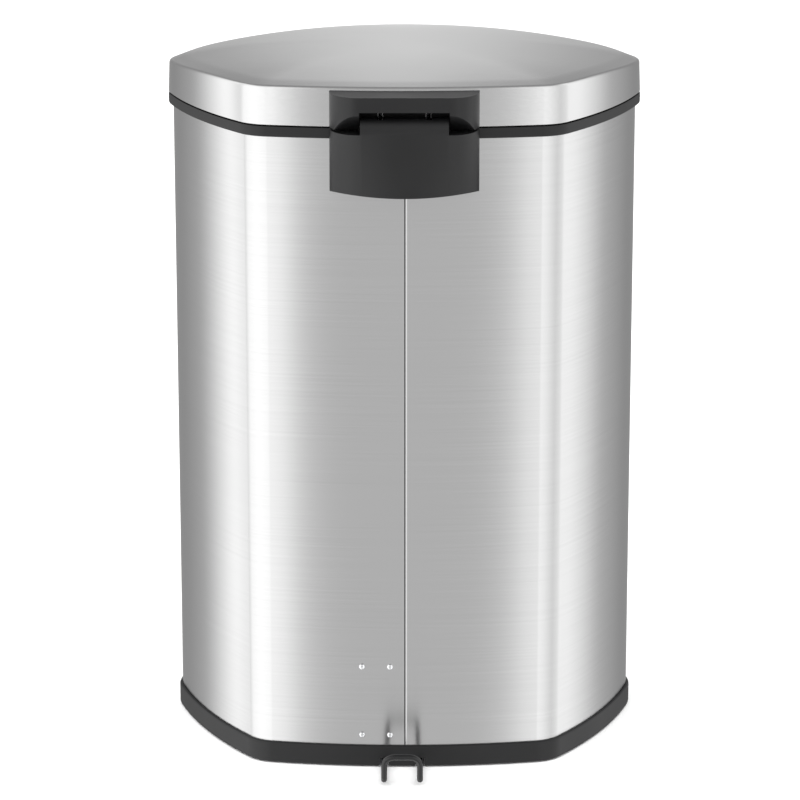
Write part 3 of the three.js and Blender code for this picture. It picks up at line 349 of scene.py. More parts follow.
def bent(corners, bend, steps=8):
    """The corners of a wire, each given a round bend."""
    corners = [Vector(c) for c in corners]
    path = [corners[0]]
    for before, corner, after in zip(corners, corners[1:], corners[2:]):
        start = corner + (before - corner).normalized() * bend
        end = corner + (after - corner).normalized() * bend
        for i in range(steps + 1):
            t = i / steps
            path.append(start.lerp(corner, t).lerp(corner.lerp(end, t), t))
    return [*path, corners[-1]]


def wire(name, path, radius, material, body, slot, *replaced):
    """A round wire along a path."""
    curve = bpy.data.curves.new(name, "CURVE")
    curve.dimensions = "3D"
    line = curve.splines.new("POLY")
    line.points.add(len(path) - 1)
    for point, place in zip(line.points, path):
        point.co = (*place, 1)
    curve.bevel_depth = radius
    curve.bevel_resolution = 6
    curve.use_fill_caps = True
    curve_object = bpy.data.objects.new(name, curve)
    bpy.context.scene.collection.objects.link(curve_object)
    graph = bpy.context.evaluated_depsgraph_get()
    mesh = bpy.data.meshes.new_from_object(curve_object.evaluated_get(graph))
    bpy.data.objects.remove(curve_object)
    bpy.data.curves.remove(curve)
    bm = bmesh.new()
    bm.from_mesh(mesh)
    bpy.data.meshes.remove(mesh)
    bmesh.ops.remove_doubles(bm, verts=bm.verts, dist=0.001)
    bmesh.ops.recalc_face_normals(bm, faces=bm.faces)
    return piece(name, bm, material, body, slot, *replaced, even=False)


# ---- Materials ----

def colour(code):
    """sRGB hex to linear."""
    parts = [int(code[i:i + 2], 16) / 255 for i in (1, 3, 5)]
    return (*[p / 12.92 if p <= 0.04045 else ((p + 0.055) / 1.055) ** 2.4 for p in parts], 1)


def add(tree, kind, values=None, links=None, **settings):
    """Adds a node with its settings, the values of its sockets and the links into it."""
    made = tree.nodes.new("ShaderNode" + kind)
    for key, value in settings.items():
        setattr(made, key, value)
    for socket, value in (values or {}).items():
        made.inputs[socket].default_value = value
    for socket, source in (links or {}).items():
        tree.links.new(source, made.inputs[socket])
    return made


def surface(name, values):
    """A new material and its shader, with the constants on the shader's own sockets."""
    material = bpy.data.materials.new(name)
    material.use_nodes = True
    tree = material.node_tree
    shader = tree.nodes["Principled BSDF"]
    for socket, value in values.items():
        shader.inputs[socket].default_value = value
    return material, tree, shader


def brushed_stainless(name, grain):
    """304 sheet, belt-brushed, with a clear anti-fingerprint coat: long streaks, soft-edged reflections."""
    material, tree, shader = surface(name, {
        "Metallic": 1.0, "Anisotropic": 0.85, "Anisotropic Rotation": 0.25,
    })
    place = add(tree, "TexCoord").outputs["Object"]
    stretched = add(tree, "Mapping", {"Scale": grain}, {"Vector": place})
    # Belt lines are about 0.1 mm apart, and are drawn 0.8 mm apart so that they show.
    lines = add(tree, "TexNoise", {"Scale": 1.0, "Detail": 4.0, "Roughness": 0.65},
                {"Vector": stretched.outputs[0]})
    # Slow change of lustre over the sheet, from the coat and from handling.
    cloudy = add(tree, "TexNoise", {"Scale": 6.0, "Detail": 2.0}, {"Vector": place})
    tint = add(tree, "ValToRGB", links={"Fac": lines.outputs["Fac"]})
    tint.color_ramp.elements[0].position = 0.3
    tint.color_ramp.elements[0].color = colour("#c3c3c3")
    tint.color_ramp.elements[1].position = 0.7
    tint.color_ramp.elements[1].color = colour("#c8c8c8")
    sheen = add(tree, "MapRange", {"From Min": 0.3, "From Max": 0.7, "To Min": 0.2, "To Max": 0.23},
                {"Value": cloudy.outputs["Fac"]})
    scratch = add(tree, "Bump", {"Strength": 0.007, "Distance": 0.0002},
                  {"Height": lines.outputs["Fac"]})
    along = add(tree, "Tangent", direction_type="UV_MAP", uv_map="grain")
    tree.links.new(tint.outputs["Color"], shader.inputs["Base Color"])
    tree.links.new(sheen.outputs[0], shader.inputs["Roughness"])
    tree.links.new(scratch.outputs[0], shader.inputs["Normal"])
    tree.links.new(along.outputs[0], shader.inputs["Tangent"])
    return material


def moulded(name, dark, light, rough, grain_mm, depth_mm, wear, ior=1.5):
    """Injection-moulded plastic: a fine spark-eroded texture and a slight change of gloss."""
    material, tree, shader = surface(name, {"Metallic": 0.0, "IOR": ior})
    place = add(tree, "TexCoord").outputs["Object"]
    grain = add(tree, "TexNoise", {"Scale": 1000 / grain_mm, "Detail": 2.0}, {"Vector": place})
    cloudy = add(tree, "TexNoise", {"Scale": 14.0, "Detail": 3.0}, {"Vector": place})
    tint = add(tree, "ValToRGB", links={"Fac": cloudy.outputs["Fac"]})
    tint.color_ramp.elements[0].position = 0.3
    tint.color_ramp.elements[0].color = colour(dark)
    tint.color_ramp.elements[1].position = 0.7
    tint.color_ramp.elements[1].color = colour(light)
    gloss = add(tree, "MapRange",
                {"From Min": 0.3, "From Max": 0.7, "To Min": rough - wear, "To Max": rough + wear},
                {"Value": cloudy.outputs["Fac"]})
    relief = add(tree, "Bump", {"Strength": 0.25, "Distance": depth_mm * MM},
                 {"Height": grain.outputs["Fac"]})
    tree.links.new(tint.outputs["Color"], shader.inputs["Base Color"])
    tree.links.new(gloss.outputs[0], shader.inputs["Roughness"])
    tree.links.new(relief.outputs[0], shader.inputs["Normal"])
    return material


def zinc_plate(name, dark, light, least_rough, most_rough):
    """Bright zinc plate on cold-drawn steel: a grey metal with a faint blue cast and cloudy gloss."""
    material, tree, shader = surface(name, {"Metallic": 1.0})
    place = add(tree, "TexCoord").outputs["Object"]
    cloudy = add(tree, "TexNoise", {"Scale": 90.0, "Detail": 4.0}, {"Vector": place})
    spangle = add(tree, "TexVoronoi", {"Scale": 600.0}, {"Vector": place})
    tint = add(tree, "ValToRGB", links={"Fac": cloudy.outputs["Fac"]})
    tint.color_ramp.elements[0].position = 0.3
    tint.color_ramp.elements[0].color = colour(dark)
    tint.color_ramp.elements[1].position = 0.7
    tint.color_ramp.elements[1].color = colour(light)
    gloss = add(tree, "MapRange",
                {"From Min": 0.3, "From Max": 0.7, "To Min": least_rough, "To Max": most_rough},
                {"Value": cloudy.outputs["Fac"]})
    relief = add(tree, "Bump", {"Strength": 0.08, "Distance": 0.00005},
                 {"Height": spangle.outputs["Distance"]})
    tree.links.new(tint.outputs["Color"], shader.inputs["Base Color"])
    tree.links.new(gloss.outputs[0], shader.inputs["Roughness"])
    tree.links.new(relief.outputs[0], shader.inputs["Normal"])
    return material


WALL_STEEL = brushed_stainless("brushed_stainless_wall", (5, 5, 1250))
LID_STEEL = brushed_stainless("brushed_stainless_lid", (5, 1250, 1250))
BLACK_ABS = moulded("black_abs_satin", "#0c0c0d", "#111112", 0.46, 0.5, 0.02, 0.04, 1.42)
GREY_PP = moulded("grey_polypropylene", "#3a3b3d", "#424345", 0.5, 0.7, 0.03, 0.05)
GREY_ACETAL = moulded("grey_acetal", "#4a4b4d", "#525356", 0.36, 0.4, 0.01, 0.04)
RUBBER = moulded("black_nitrile_rubber", "#121212", "#181818", 0.75, 0.6, 0.04, 0.05)
DIPPED_WIRE = moulded("black_vinyl_dip", "#0d0d0e", "#121213", 0.28, 1.2, 0.02, 0.05)
ZINC = zinc_plate("bright_zinc_plate", "#9a9fa6", "#c2c5c9", 0.24, 0.42)
RIVET_ZINC = zinc_plate("polished_zinc_rivet", "#dcdddf", "#e9eaeb", 0.1, 0.18)

# ---- Base ----
LEDGE = 24.0  # inset of the ring's inner wall
FLOOR_Z = 42.0
ledge_top = BASE_LOW.z + 3
base_foot = BASE_LOW.z
base_top = SHELL_LOW.z + 15.1


def hoop_notches(top):
    """The room for the hoop's two arms, up to a height."""
    return [block(x - 4, x + 4, BACK - 45, BACK + CUT, -1, top) for x in HOOP_SIDES]


def rod_room(low):
    """The room that the push rod and its hook need in the base."""
    return block(-16, 26, 139, 151, low, FLOOR_Z + 8)


base = around([
    (BASE_INSET + 1.2, base_foot), (LEDGE, base_foot), (LEDGE, FLOOR_Z + 1),
    (LEDGE - MOULDED_WALL, FLOOR_Z + 1), (LEDGE - MOULDED_WALL, ledge_top),
    (SHELL_INSET - GAP, ledge_top), (SHELL_INSET - GAP, base_top), (BASE_INSET + 1.2, base_top),
    (BASE_INSET + 0.45, base_top - 0.4), (BASE_INSET + 0.1, base_top - 1.2),
    (BASE_INSET, base_top - 2.2), (BASE_INSET, base_foot + 1.6), (BASE_INSET + 0.35, base_foot + 0.45),
])
lever_room = block(-LEVER_HALF, LEVER_HALF, FRONT - CUT, FRONT + 40, -1, 18.4)
base = combined(base, *hoop_notches(HOOP_FLOOR_Z + HOOP_WIRE + 1), lever_room, rod_room(ledge_top + GAP))
piece("base_ring", base, BLACK_ABS, "can", "black_moulded_plastic", "base_moulding")
base_floor = combined(slab(LEDGE - 1, FLOOR_Z, FLOOR_Z + MOULDED_WALL), rod_room(FLOOR_Z - CUT))
piece("base_floor", base_floor, BLACK_ABS, "can", "black_moulded_plastic")

# ---- Shell ----
SEAM = (-0.95, 0.05)  # the joint's two sides, across the back
SEAM_DEPTH = 0.7
SEAM_PROUD = 0.24
LAP_WIDTH = 1.25
shell_back = BACK - SHELL_INSET
seam_ends = (base_top + GAP, COLLAR_LOW.z - GAP)
inner_face = SHELL_INSET + SHELL_GAUGE
shell = around([
    (inner_face, SHELL_LOW.z), (inner_face, SHELL_HIGH.z),
    (SHELL_INSET, SHELL_HIGH.z), (SHELL_INSET, SHELL_LOW.z),
])
shell = combined(
    shell,
    block(*SEAM, shell_back - SEAM_DEPTH, shell_back + 2, SHELL_LOW.z - CUT, SHELL_HIGH.z + CUT),
    block(ROD_X - 4.5, ROD_X + 4.5, BACK - 20, BACK + CUT, 513.5, 550),
    block(-LEVER_HALF, LEVER_HALF, FRONT, FRONT + 15, 0, 18.9),
    *hoop_notches(8.5),
)
piece("shell_sheet", shell, WALL_STEEL, "can", "brushed_stainless", "outer_shell")
# The sheet's outer edge at the seam stands a little proud and leans away from the joint.
lap = block(SEAM[0] - LAP_WIDTH, SEAM[0], shell_back - 0.3, shell_back + 0.02, *seam_ends)
proud = [v for v in lap.verts if v.co.x > SEAM[0] - 0.5 and v.co.y > shell_back]
bmesh.ops.translate(lap, vec=(0, SEAM_PROUD, 0), verts=proud)
piece("seam_lap", lap, WALL_STEEL, "can", "brushed_stainless", even=False)
# A thin black strip at the bottom of the joint: painted shade in the seam's groove.
painted_shade_strip = block(*SEAM, shell_back - 0.75, shell_back - 0.68, *seam_ends)
piece("seam_painted_shade_strip", painted_shade_strip, RUBBER, "can", "black_rubber", even=False)

# ---- Collar ----
COLLAR_LEDGE = 20  # inset of its inner edge, which holds the bucket's rim
collar_foot = COLLAR_LOW.z
collar_hem = collar_foot + 3.8
collar_top = COLLAR_HIGH.z
under = collar_top - MOULDED_WALL
lip = SHELL_INSET - GAP
inner = inner_face + GAP
collar = around([
    (1.3, collar_hem), (lip, collar_hem), (lip, under), (inner, under), (inner, collar_foot),
    (inner + MOULDED_WALL, collar_foot), (inner + MOULDED_WALL, under), (COLLAR_LEDGE, under),
    (COLLAR_LEDGE, collar_top), (1.4, collar_top), (0.5, collar_top - 0.35), (0, collar_top - 1.3),
    (0, collar_hem + 1.4), (0.4, collar_hem + 0.4),
])
piece("collar_ring", collar, BLACK_ABS, "can", "black_moulded_plastic", "top_collar")

# ---- Lid ----
DOME_RINGS = 26
DOME_START = 0.975  # the first ring's share of the footprint's size
lid_bottom = LID_LOW.z
crown = LID_HIGH.z - LID_EDGE


def dome_height(share):
    """The crown is nearly flat in the middle and falls faster towards the rim."""
    return LID_EDGE + crown * (1 - share ** 3)


def lower_rim(bm):
    """Lets the top run down from the hinge to the sides; the skirt's foot and the crown stay."""
    for vert in bm.verts:
        x, y, z = vert.co
        part_way = min(max((y - LOW_FROM) / (LEVEL_TO - LOW_FROM), 0), 1)
        lowered = 1 - part_way * part_way * (3 - 2 * part_way)
        if z > LID_EDGE:
            follows = 1 - (z - LID_EDGE) / crown
        else:
            follows = max((z - lid_bottom - LEVEL_FOOT) / (LID_EDGE - lid_bottom - LEVEL_FOOT), 0)
        bmesh.ops.translate(bm, vec=(0, 0, -RIM_DROP * lowered * follows), verts=[vert])


def lid_shape():
    """The pressing: a skirt with a rolled edge and a dome, and the same again inside it."""
    gauge = SHELL_GAUGE
    outside = around([
        (gauge, lid_bottom + 0.1), (0.25, lid_bottom), (0.05, lid_bottom + 0.25), (0.1, lid_bottom + 3),
        (0.9, SKIRT_TOP), (1.15, SKIRT_TOP + 1.3), (1.7, SKIRT_TOP + 2.3), (2.5, SKIRT_TOP + 3),
        (LID_INSET, LID_EDGE),
    ], closed=False)
    crown_rings(outside, 0.0)
    inside = around([
        (gauge, lid_bottom + 0.1), (0.9 + gauge, SKIRT_TOP), (LID_INSET, LID_EDGE - gauge),
    ], closed=False)
    crown_rings(inside, -gauge)
    whole = merged(outside, inside)
    bmesh.ops.remove_doubles(whole, verts=whole.verts, dist=0.02)
    bmesh.ops.recalc_face_normals(whole, faces=whole.faces)
    lower_rim(whole)
    return whole


def crown_rings(bm, drop):
    """Closes the open top with rings that shrink towards the middle and rise to the crown."""
    top = max(v.co.z for v in bm.verts)
    rim = [e for e in bm.edges if e.is_boundary and all(v.co.z > top - 0.01 for v in e.verts)]
    about = Matrix.Translation((0, -MIDDLE, 0))
    share = DOME_START
    for i in range(1, DOME_RINGS + 1):
        wanted = DOME_START * (1 - i / (DOME_RINGS + 0.35))
        grown = bmesh.ops.extrude_edge_only(bm, edges=rim)["geom"]
        verts = [v for v in grown if isinstance(v, bmesh.types.BMVert)]
        rim = [e for e in grown if isinstance(e, bmesh.types.BMEdge)]
        shrink = wanted / share
        bmesh.ops.scale(bm, vec=(shrink, shrink, 1), space=about, verts=verts)
        level = dome_height(wanted) + drop
        bmesh.ops.translate(bm, vec=(0, 0, level - verts[0].co.z), verts=verts)
        share = wanted
    bmesh.ops.contextual_create(bm, geom=rim)


def arm_slots(y0, y1, z0, z1):
    """Cuts for the hinge bracket's arms."""
    return [block(x - ARM_ROOM, x + ARM_ROOM, y0, y1, z0, z1) for x in ARM_SIDES]


piece("lid_pressing", lid_shape(), LID_STEEL, "lid", "brushed_stainless", "lid_skin", even=False)

LINER_INSET = 2.1
LINER_PANEL = 588.0
pan = around([
    (LINER_INSET, LINER_LOW.z), (LINER_INSET, LINER_HIGH.z),
    (LINER_INSET + MOULDED_WALL, LINER_HIGH.z), (LINER_INSET + MOULDED_WALL, LINER_LOW.z),
])
pan = combined(pan, *arm_slots(BACK - 6, BACK + CUT, lid_bottom - CUT, lid_bottom + 16))
lower_rim(pan)
piece("lid_pan_wall", pan, BLACK_ABS, "lid", "black_moulded_plastic", "lid_liner")
panel = slab(LINER_INSET + 1, LINER_PANEL, LINER_PANEL + MOULDED_WALL)
lower_rim(panel)
piece("lid_pan", panel, BLACK_ABS, "lid", "black_moulded_plastic")


# ---- Hinge ----
HOUSING_TOP = 561.5
COLLAR_CUT = 551.5  # above this the housing keeps clear of the collar
END_STEPS = 48


def hinge_plan(shrink, z0, z1, bowed=False):
    """Straight outer face with elliptical ends. Bowed, its lower end is drawn in to a shallow arc."""
    half = HINGE_HALF - shrink
    out = REACH - BACK - shrink
    bm = bmesh.new()
    xs = [half * math.cos(math.pi * i / END_STEPS) for i in range(END_STEPS + 1)]

    def depth_at(x):
        past = max(abs(x) - HINGE_FLAT_HALF, 0) / (half - HINGE_FLAT_HALF)
        return out * math.sqrt(max(1 - past * past, 0))

    corners = [(half, -20), *[(x, depth_at(x)) for x in xs], (-half, -20)]
    verts = [bmesh.ops.create_vert(bm, co=(x, BACK + y, z0))["vert"][0] for x, y in corners]
    bmesh.ops.contextual_create(bm, geom=verts)
    raise_faces(bm, z1 - z0)
    if bowed:
        for vert in [v for v in bm.verts if v.co.z < z0 + 0.01 and v.co.y > BACK - 1]:
            x = vert.co.x
            arc_depth = out * (1 - (x / half) ** 2)
            bmesh.ops.translate(bm, vec=(0, arc_depth - depth_at(x), 0), verts=[vert])
    return bm


def cover_section(shrink):
    """The stretch of X that the cover is cut from, chamfered under its outer edge."""
    low, high = COVER_LOW.z + shrink, COVER_HIGH.z - shrink
    edge = COVER_CHAMFER + shrink * (math.sqrt(2) - 1)
    return drawn(
        [(BACK - 25, low), (REACH - edge, low), (REACH - shrink, COVER_LOW.z + edge),
         (REACH - shrink, high), (BACK - 25, high)],
        -HINGE_HALF - CUT, HINGE_HALF + CUT)


def hinge_cover():
    """The shell on the lid, hollow, with a notch for the housing's tongue."""
    wall = MOULDED_WALL
    low, high = COVER_LOW.z, COVER_HIGH.z
    outside = combined(hinge_plan(0, low, high), cover_section(0), operation="INTERSECT")
    inside = combined(hinge_plan(wall, low, high), cover_section(wall), operation="INTERSECT")
    notch_walls = block(-NOTCH_HALF - wall, NOTCH_HALF + wall, BACK - 30, REACH + CUT, low - CUT,
                        NOTCH_TOP + wall)
    inside = combined(inside, notch_walls)
    notch = block(-NOTCH_HALF, NOTCH_HALF, BACK + NOTCH_WALL, REACH + CUT, low - CUT, NOTCH_TOP)
    arms = arm_slots(BACK - 6, BACK + CUT, low - CUT, low + 14.5)
    return combined(outside, inside, notch, *arms, slab(-GAP, low - CUT, high + CUT))


def barrel_arc(radius):
    """The barrel's round back and top, about the hinge pin, as (y, z) points."""
    turns = [math.radians(100 * i / 14) for i in range(15)]
    return [(AXIS_Y + radius * math.cos(t), AXIS_Z + radius * math.sin(t)) for t in turns]


def hinge_housing():
    """The block on the shell, with a tongue that carries the pin inside the cover's notch."""
    wall = MOULDED_WALL
    low, top = HOUSING_LOW.z, HOUSING_TOP
    neck = top - 5
    tongue = drawn(
        [(BACK + 1, neck), (REACH - 3, neck), (REACH, top), *barrel_arc(BARREL_RADIUS),
         (AXIS_Y - 8, AXIS_Z - 1), (BACK + 1, AXIS_Z - 3.5)],
        -TONGUE_HALF, TONGUE_HALF,
    )
    whole = combined(hinge_plan(0, low, top, True), tongue, operation="UNION")
    barrel_room = drawn(
        [(BACK - 10, low + wall), (REACH - wall, low + wall), *barrel_arc(BARREL_RADIUS - wall),
         (AXIS_Y - 6, AXIS_Z + 15), (BACK - 10, AXIS_Z + 15)],
        wall - TONGUE_HALF, TONGUE_HALF - wall,
    )
    below_neck = block(-HINGE_HALF, HINGE_HALF, BACK - 25, REACH + CUT, low - 1, neck)
    barrel_room = combined(barrel_room, below_neck)
    ribs = [block(x, x + wall, BACK - 25, REACH + CUT, low - 1, top + 1)
            for x in (-TONGUE_HALF, TONGUE_HALF - wall)]
    room = combined(hinge_plan(wall, low + wall, top - wall, True), *ribs)
    arms = arm_slots(BACK - 5, AXIS_Y + 4.5, AXIS_Z + 2, AXIS_Z + 15)
    return combined(whole, barrel_room, room, *arms,
                    slab(SHELL_INSET - GAP, low - CUT, top + CUT), slab(-GAP, COLLAR_CUT, top + CUT))


piece("cover_moulding", hinge_cover(), BLACK_ABS, "lid", "black_moulded_plastic", "hinge_cover",
      soften=0.9)
piece("housing_moulding", hinge_housing(), BLACK_ABS, "can", "black_moulded_plastic",
      "hinge_housing", soften=0.9)

# ---- Rear hoop ----
clamp_y = BACK - 58
hoop_y = BACK + HOOP_BACK


def hoop_arm(x):
    """One arm's corners: in the clamp, down to the floor, back along it, and up."""
    return [(x, clamp_y - 10, 10), (x, clamp_y + 14, 10), (x, clamp_y + 27, HOOP_FLOOR_Z),
            (x, hoop_y, HOOP_FLOOR_Z), (x, hoop_y, HOOP_TOP - 4)]


left_x, right_x = HOOP_SIDES
hoop_path = bent(
    [*hoop_arm(left_x), (left_x + 6, hoop_y, HOOP_TOP), (right_x - 6, hoop_y, HOOP_TOP),
     *reversed(hoop_arm(right_x))], HOOP_BEND, 6)
wire("hoop_wire", hoop_path, HOOP_WIRE, DIPPED_WIRE, "can", "black_coated_wire", "rear_hoop")

# ---- Rivets ----
RIVET_LENGTH = 7.65
# Radius and height up a blind rivet: its shank, its flange, its domed head and the mandrel's hole.
RIVET_PROFILE = [
    (0, 0), (2, 0), (2, 6), (2.6, 6), (2.6, 6.4), (2.3, 7.1), (1.75, 7.55), (1.25, RIVET_LENGTH),
    (1.0, 7.4), (0.9, 6.2), (0, 6.2),
]
for n in range(1, 5):
    low, high = sides_of(f"bracket_rivet_{n}")
    rivet = turned(RIVET_PROFILE, 28)
    bmesh.ops.rotate(rivet, cent=(0, 0, 0), matrix=Matrix.Rotation(-math.pi / 2, 3, "X"),
                     verts=rivet.verts)
    middle = (low + high) / 2
    bmesh.ops.translate(rivet, vec=(middle.x, high.y - RIVET_LENGTH, middle.z), verts=rivet.verts)
    piece(f"rivet_{n}", rivet, RIVET_ZINC, "can", "zinc_plated_steel", f"bracket_rivet_{n}", even=False)

# ---- Pedal ----
plate_low, plate_high = sides_of("pedal_plate")
pad_low, pad_high = sides_of("pedal_pad")


PEDAL_WALL = 2
PEDAL_OPENING = 60  # half of the opening in its back, between the side walls
PEDAL_CORNER = 9


def pedal_slab(low, high, corner):
    """A slab whose two front corners are round."""
    bm = block(low.x, high.x, low.y, high.y, low.z, high.z)
    middle_y = (low.y + high.y) / 2
    uprights = [e for e in bm.edges
                if abs(e.verts[0].co.z - e.verts[1].co.z) > 0.1 and e.verts[0].co.y < middle_y]
    round_edges(bm, uprights, corner, 10)
    return bm


wall = PEDAL_WALL
cap_hollow = pedal_slab(plate_low + Vector((wall, wall, -wall)),
                        plate_high + Vector((-wall, 20 - wall, -wall)), PEDAL_CORNER - wall)
open_back = block(-PEDAL_OPENING, PEDAL_OPENING, plate_high.y - 12, plate_high.y + 2,
                  plate_low.z - 1, plate_high.z - wall)
cap = combined(pedal_slab(plate_low, plate_high, PEDAL_CORNER), cap_hollow, open_back)
piece("pedal_cap", cap, WALL_STEEL, "pedal", "brushed_stainless", "pedal_plate", soften=0.7)
grooves = [block(x - 1, x + 1, pad_low.y + 4, pad_high.y - 4, pad_high.z - 1, pad_high.z + 1)
           for x in (-26, -13, 0, 13, 26)]
tread = combined(pedal_slab(pad_low, pad_high, 6), *grooves)
piece("pedal_tread", tread, RUBBER, "pedal", "black_rubber", "pedal_pad", soften=0.5)

# ---- Bucket ----
BAIL_Y = -4.87
BAIL_Z = 565.6
BAIL_INSET = 17
rim_low = collar_top + GAP
rim_top = rim_low + 2
pail = around([
    (35, 47), (31, 52), (22, rim_low), (10.5, rim_low), (10.5, rim_top), (24, rim_top),
    (32.8, 53), (36, 48.8),
], closed=False)
for level in (47, 48.8):
    rim = [e for e in pail.edges if e.is_boundary and all(abs(v.co.z - level) < 0.01 for v in e.verts)]
    bmesh.ops.contextual_create(pail, geom=rim)
bmesh.ops.recalc_face_normals(pail, faces=pail.faces)
sharp = [e for e in pail.edges
         if len(e.link_faces) == 2 and e.calc_face_angle() > math.radians(35)]
round_edges(pail, sharp, 0.5, 2)
ears = []
for side in (-1, 1):
    near, far = sorted((side * (HALF_WIDTH - 24), side * (HALF_WIDTH - 20.6)))
    ear = combined(
        block(near, far, BAIL_Y - 6, BAIL_Y + 6, rim_low + 0.5, rim_top + 8),
        rod(2.3, (-HALF_WIDTH, BAIL_Y, BAIL_Z), (HALF_WIDTH, BAIL_Y, BAIL_Z)),
    )
    ears.append(ear)
piece("bucket_pail", merged(pail, *ears), GREY_PP, "bucket", "grey_bucket_plastic", "inner_bucket")

bail_loop = bmesh.new()
footprint(bail_loop, BAIL_INSET, BAIL_Z)
front_half = sorted((v.co.copy() for v in bail_loop.verts if v.co.y < BAIL_Y - 3),
                    key=lambda p: math.atan2(p.x, -p.y))
bail_loop.free()
bail_end = HALF_WIDTH - 28
bail_side = HALF_WIDTH - BAIL_INSET
bail_path = [
    Vector((-bail_end, BAIL_Y, BAIL_Z)), Vector((4 - bail_side, BAIL_Y, BAIL_Z)),
    Vector((1.2 - bail_side, BAIL_Y - 1.2, BAIL_Z)), *front_half,
    Vector((bail_side - 1.2, BAIL_Y - 1.2, BAIL_Z)), Vector((bail_side - 4, BAIL_Y, BAIL_Z)),
    Vector((bail_end, BAIL_Y, BAIL_Z)),
]
wire("bail_wire", bail_path, 2, ZINC, "bail", "zinc_plated_steel", "bail_handle")

# ---- Push rod ----
rod_low, rod_high = sides_of("push_rod")
rod_y = rod_low.y + ROD_WIRE
crank_y = rod_high.y - ROD_WIRE
HOOK_Z = 23.2  # the hook that the pedal's lever lifts
rod_path = bent([(-6, rod_y, HOOK_Z), (ROD_X, rod_y, HOOK_Z), (ROD_X, rod_y, 512.5),
                 (ROD_X, crank_y, 530), (ROD_X, crank_y, 548.7)], 6)
wire("rod_wire", rod_path, ROD_WIRE, ZINC, "push_rod", "zinc_plated_steel", "push_rod")

# ---- Finishes of the CAD nodes that stay ----
FINISHES = {
    "zinc_plated_steel": ZINC,
    "grey_moulded_plastic": GREY_ACETAL,
    "black_rubber": RUBBER,
}
slots = {row["node"]: row["material_slot"] for row in frame["record"]["subparts"]}
for node_name, node in frame["nodes"].items():
    if node.hide_render:
        continue
    node.data.materials.clear()
    node.data.materials.append(FINISHES[slots[node_name]])
    weld = node.modifiers.new("weld", "WELD")
    weld.merge_threshold = 0.00001
    edge = node.modifiers.new("soft_edges", "BEVEL")
    edge.width = 0.0003
    edge.segments = 2
    edge.limit_method = "ANGLE"
    edge.angle_limit = math.radians(50)

# ---- Floor ----
floor_mesh = bpy.data.meshes.new("floor")
ground = bmesh.new()
bmesh.ops.create_grid(ground, x_segments=1, y_segments=1, size=30)
ground.to_mesh(floor_mesh)
ground.free()
floor = bpy.data.objects.new("floor", floor_mesh)
bpy.context.scene.collection.objects.link(floor)
paper, _, paper_shader = surface("white_studio_floor", {"Roughness": 0.9})
paper_shader.inputs["Base Color"].default_value = colour("#fcfcfc")
floor_mesh.materials.append(paper)
floor.visible_glossy = False  # the steel reflects the studio's panels down to its foot

# ---- Studio ----
world = bpy.data.worlds.new("studio")
bpy.context.scene.world = world
world.use_nodes = True
sky = world.node_tree
# Brightness of the panels round the horizon, by degrees from the hinge side towards +X, then -X.
TO_RIGHT = ((12, 0.76), (16, 0.83), (18.6, 1.0), (20.6, 1.33), (22.8, 1.74), (60, 1.86), (92, 1.72),
            (109, 1.18), (113, 1.8), (115.5, 1.76), (121.7, 1.26), (128.6, 0.77), (132.4, 0.57),
            (147, 0.36))
TO_LEFT = ((12, 0.76), (16, 0.82), (18.6, 0.95), (22, 1.36), (26, 1.58), (45, 1.46), (75, 1.12),
           (96, 1.3), (112, 1.62), (121.7, 1.1), (128.6, 0.67), (147, 0.35))
FAR_SIDE = ((165, 0.42), (173, 0.56), (180, 1.04))
BRIGHTEST = 2.0  # a colour ramp holds up to 1, so the panels are divided by this and multiplied again
OVERHEAD = 0.42
way = add(sky, "TexCoord").outputs["Generated"]
parts = add(sky, "SeparateXYZ", links={"Vector": way})
bearing = add(sky, "Math", links={0: parts.outputs["X"], 1: parts.outputs["Y"]},
              operation="ARCTAN2")
position = add(sky, "MapRange", {"From Min": -math.pi, "From Max": math.pi},
               {"Value": bearing.outputs[0]})
band = add(sky, "ValToRGB", links={"Fac": position.outputs[0]})
stops = [(0.5 + d / 360, v) for d, v in TO_RIGHT + FAR_SIDE]
stops = sorted(stops + [(0.5 - d / 360, v) for d, v in TO_LEFT + FAR_SIDE])
ramp = band.color_ramp
ramp.elements[0].position, ramp.elements[1].position = stops[0][0], stops[-1][0]
for place, value in stops[1:-1]:
    ramp.elements.new(place)
for element, (place, value) in zip(ramp.elements, stops):
    element.position = place
    element.color = (value / BRIGHTEST,) * 3 + (1,)
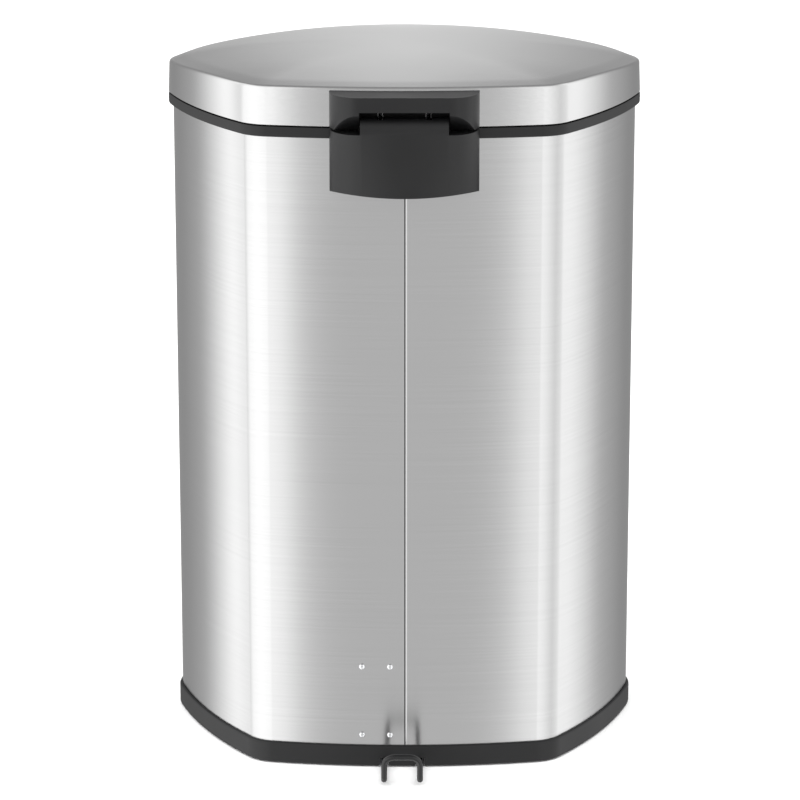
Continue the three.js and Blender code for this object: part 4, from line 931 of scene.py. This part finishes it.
horizon = add(sky, "VectorMath", {1: (BRIGHTEST,) * 3}, {0: band.outputs["Color"]},
              operation="MULTIPLY")
raised = add(sky, "MapRange", {"From Min": 0.6, "From Max": 0.85}, {"Value": parts.outputs["Z"]},
             interpolation_type="SMOOTHSTEP")
above = add(sky, "Mix", {"B": (OVERHEAD, OVERHEAD, OVERHEAD)},
            {"Factor": raised.outputs[0], "A": horizon.outputs[0]}, data_type="VECTOR")
studio = sky.nodes["Background"]
sky.links.new(above.outputs["Result"], studio.inputs["Color"])
# Behind the can the studio is plain white.
plain = add(sky, "Background", {"Color": (1, 1, 1, 1), "Strength": 1.0})
seen = add(sky, "LightPath").outputs["Is Camera Ray"]
both = add(sky, "MixShader", links={0: seen, 1: studio.outputs[0], 2: plain.outputs[0]})
sky.links.new(both.outputs[0], sky.nodes["World Output"].inputs["Surface"])


def hang(light):
    """Puts a light in the scene that the steel doesn't mirror."""
    made = bpy.data.objects.new(light.name, light)
    bpy.context.scene.collection.objects.link(made)
    made.visible_glossy = False
    return made


top_light = bpy.data.lights.new("overhead_softbox", "AREA")
top_light.shape = "SQUARE"
top_light.size = 3.4
top_light.energy = 40
overhead = hang(top_light)  # it whitens the floor without a patch of glare on the lid
overhead.location = (0, 0.9, 3.0)
overhead.rotation_euler = (math.radians(-14), 0, 0)
overhead.visible_camera = False

ceiling_light = bpy.data.lights.new("white_ceiling", "SUN")
ceiling_light.angle = math.radians(120)
ceiling_light.energy = 2.2
hang(ceiling_light)

# ---- Camera ----
CAMERA_PLACE = (0, 3.1791, 1.140)
LOOKS_DOWN = 15.08
camera_data = bpy.data.cameras.new("camera")
camera_data.lens = 166.8
camera_data.sensor_width = 36
camera_data.shift_x = -0.0055
camera = bpy.data.objects.new("camera", camera_data)
camera.location = CAMERA_PLACE
camera.rotation_euler = (math.radians(90 - LOOKS_DOWN), 0, math.pi)
bpy.context.scene.collection.objects.link(camera)
bpy.context.scene.camera = camera
bpy.context.scene.view_settings.view_transform = "Standard"
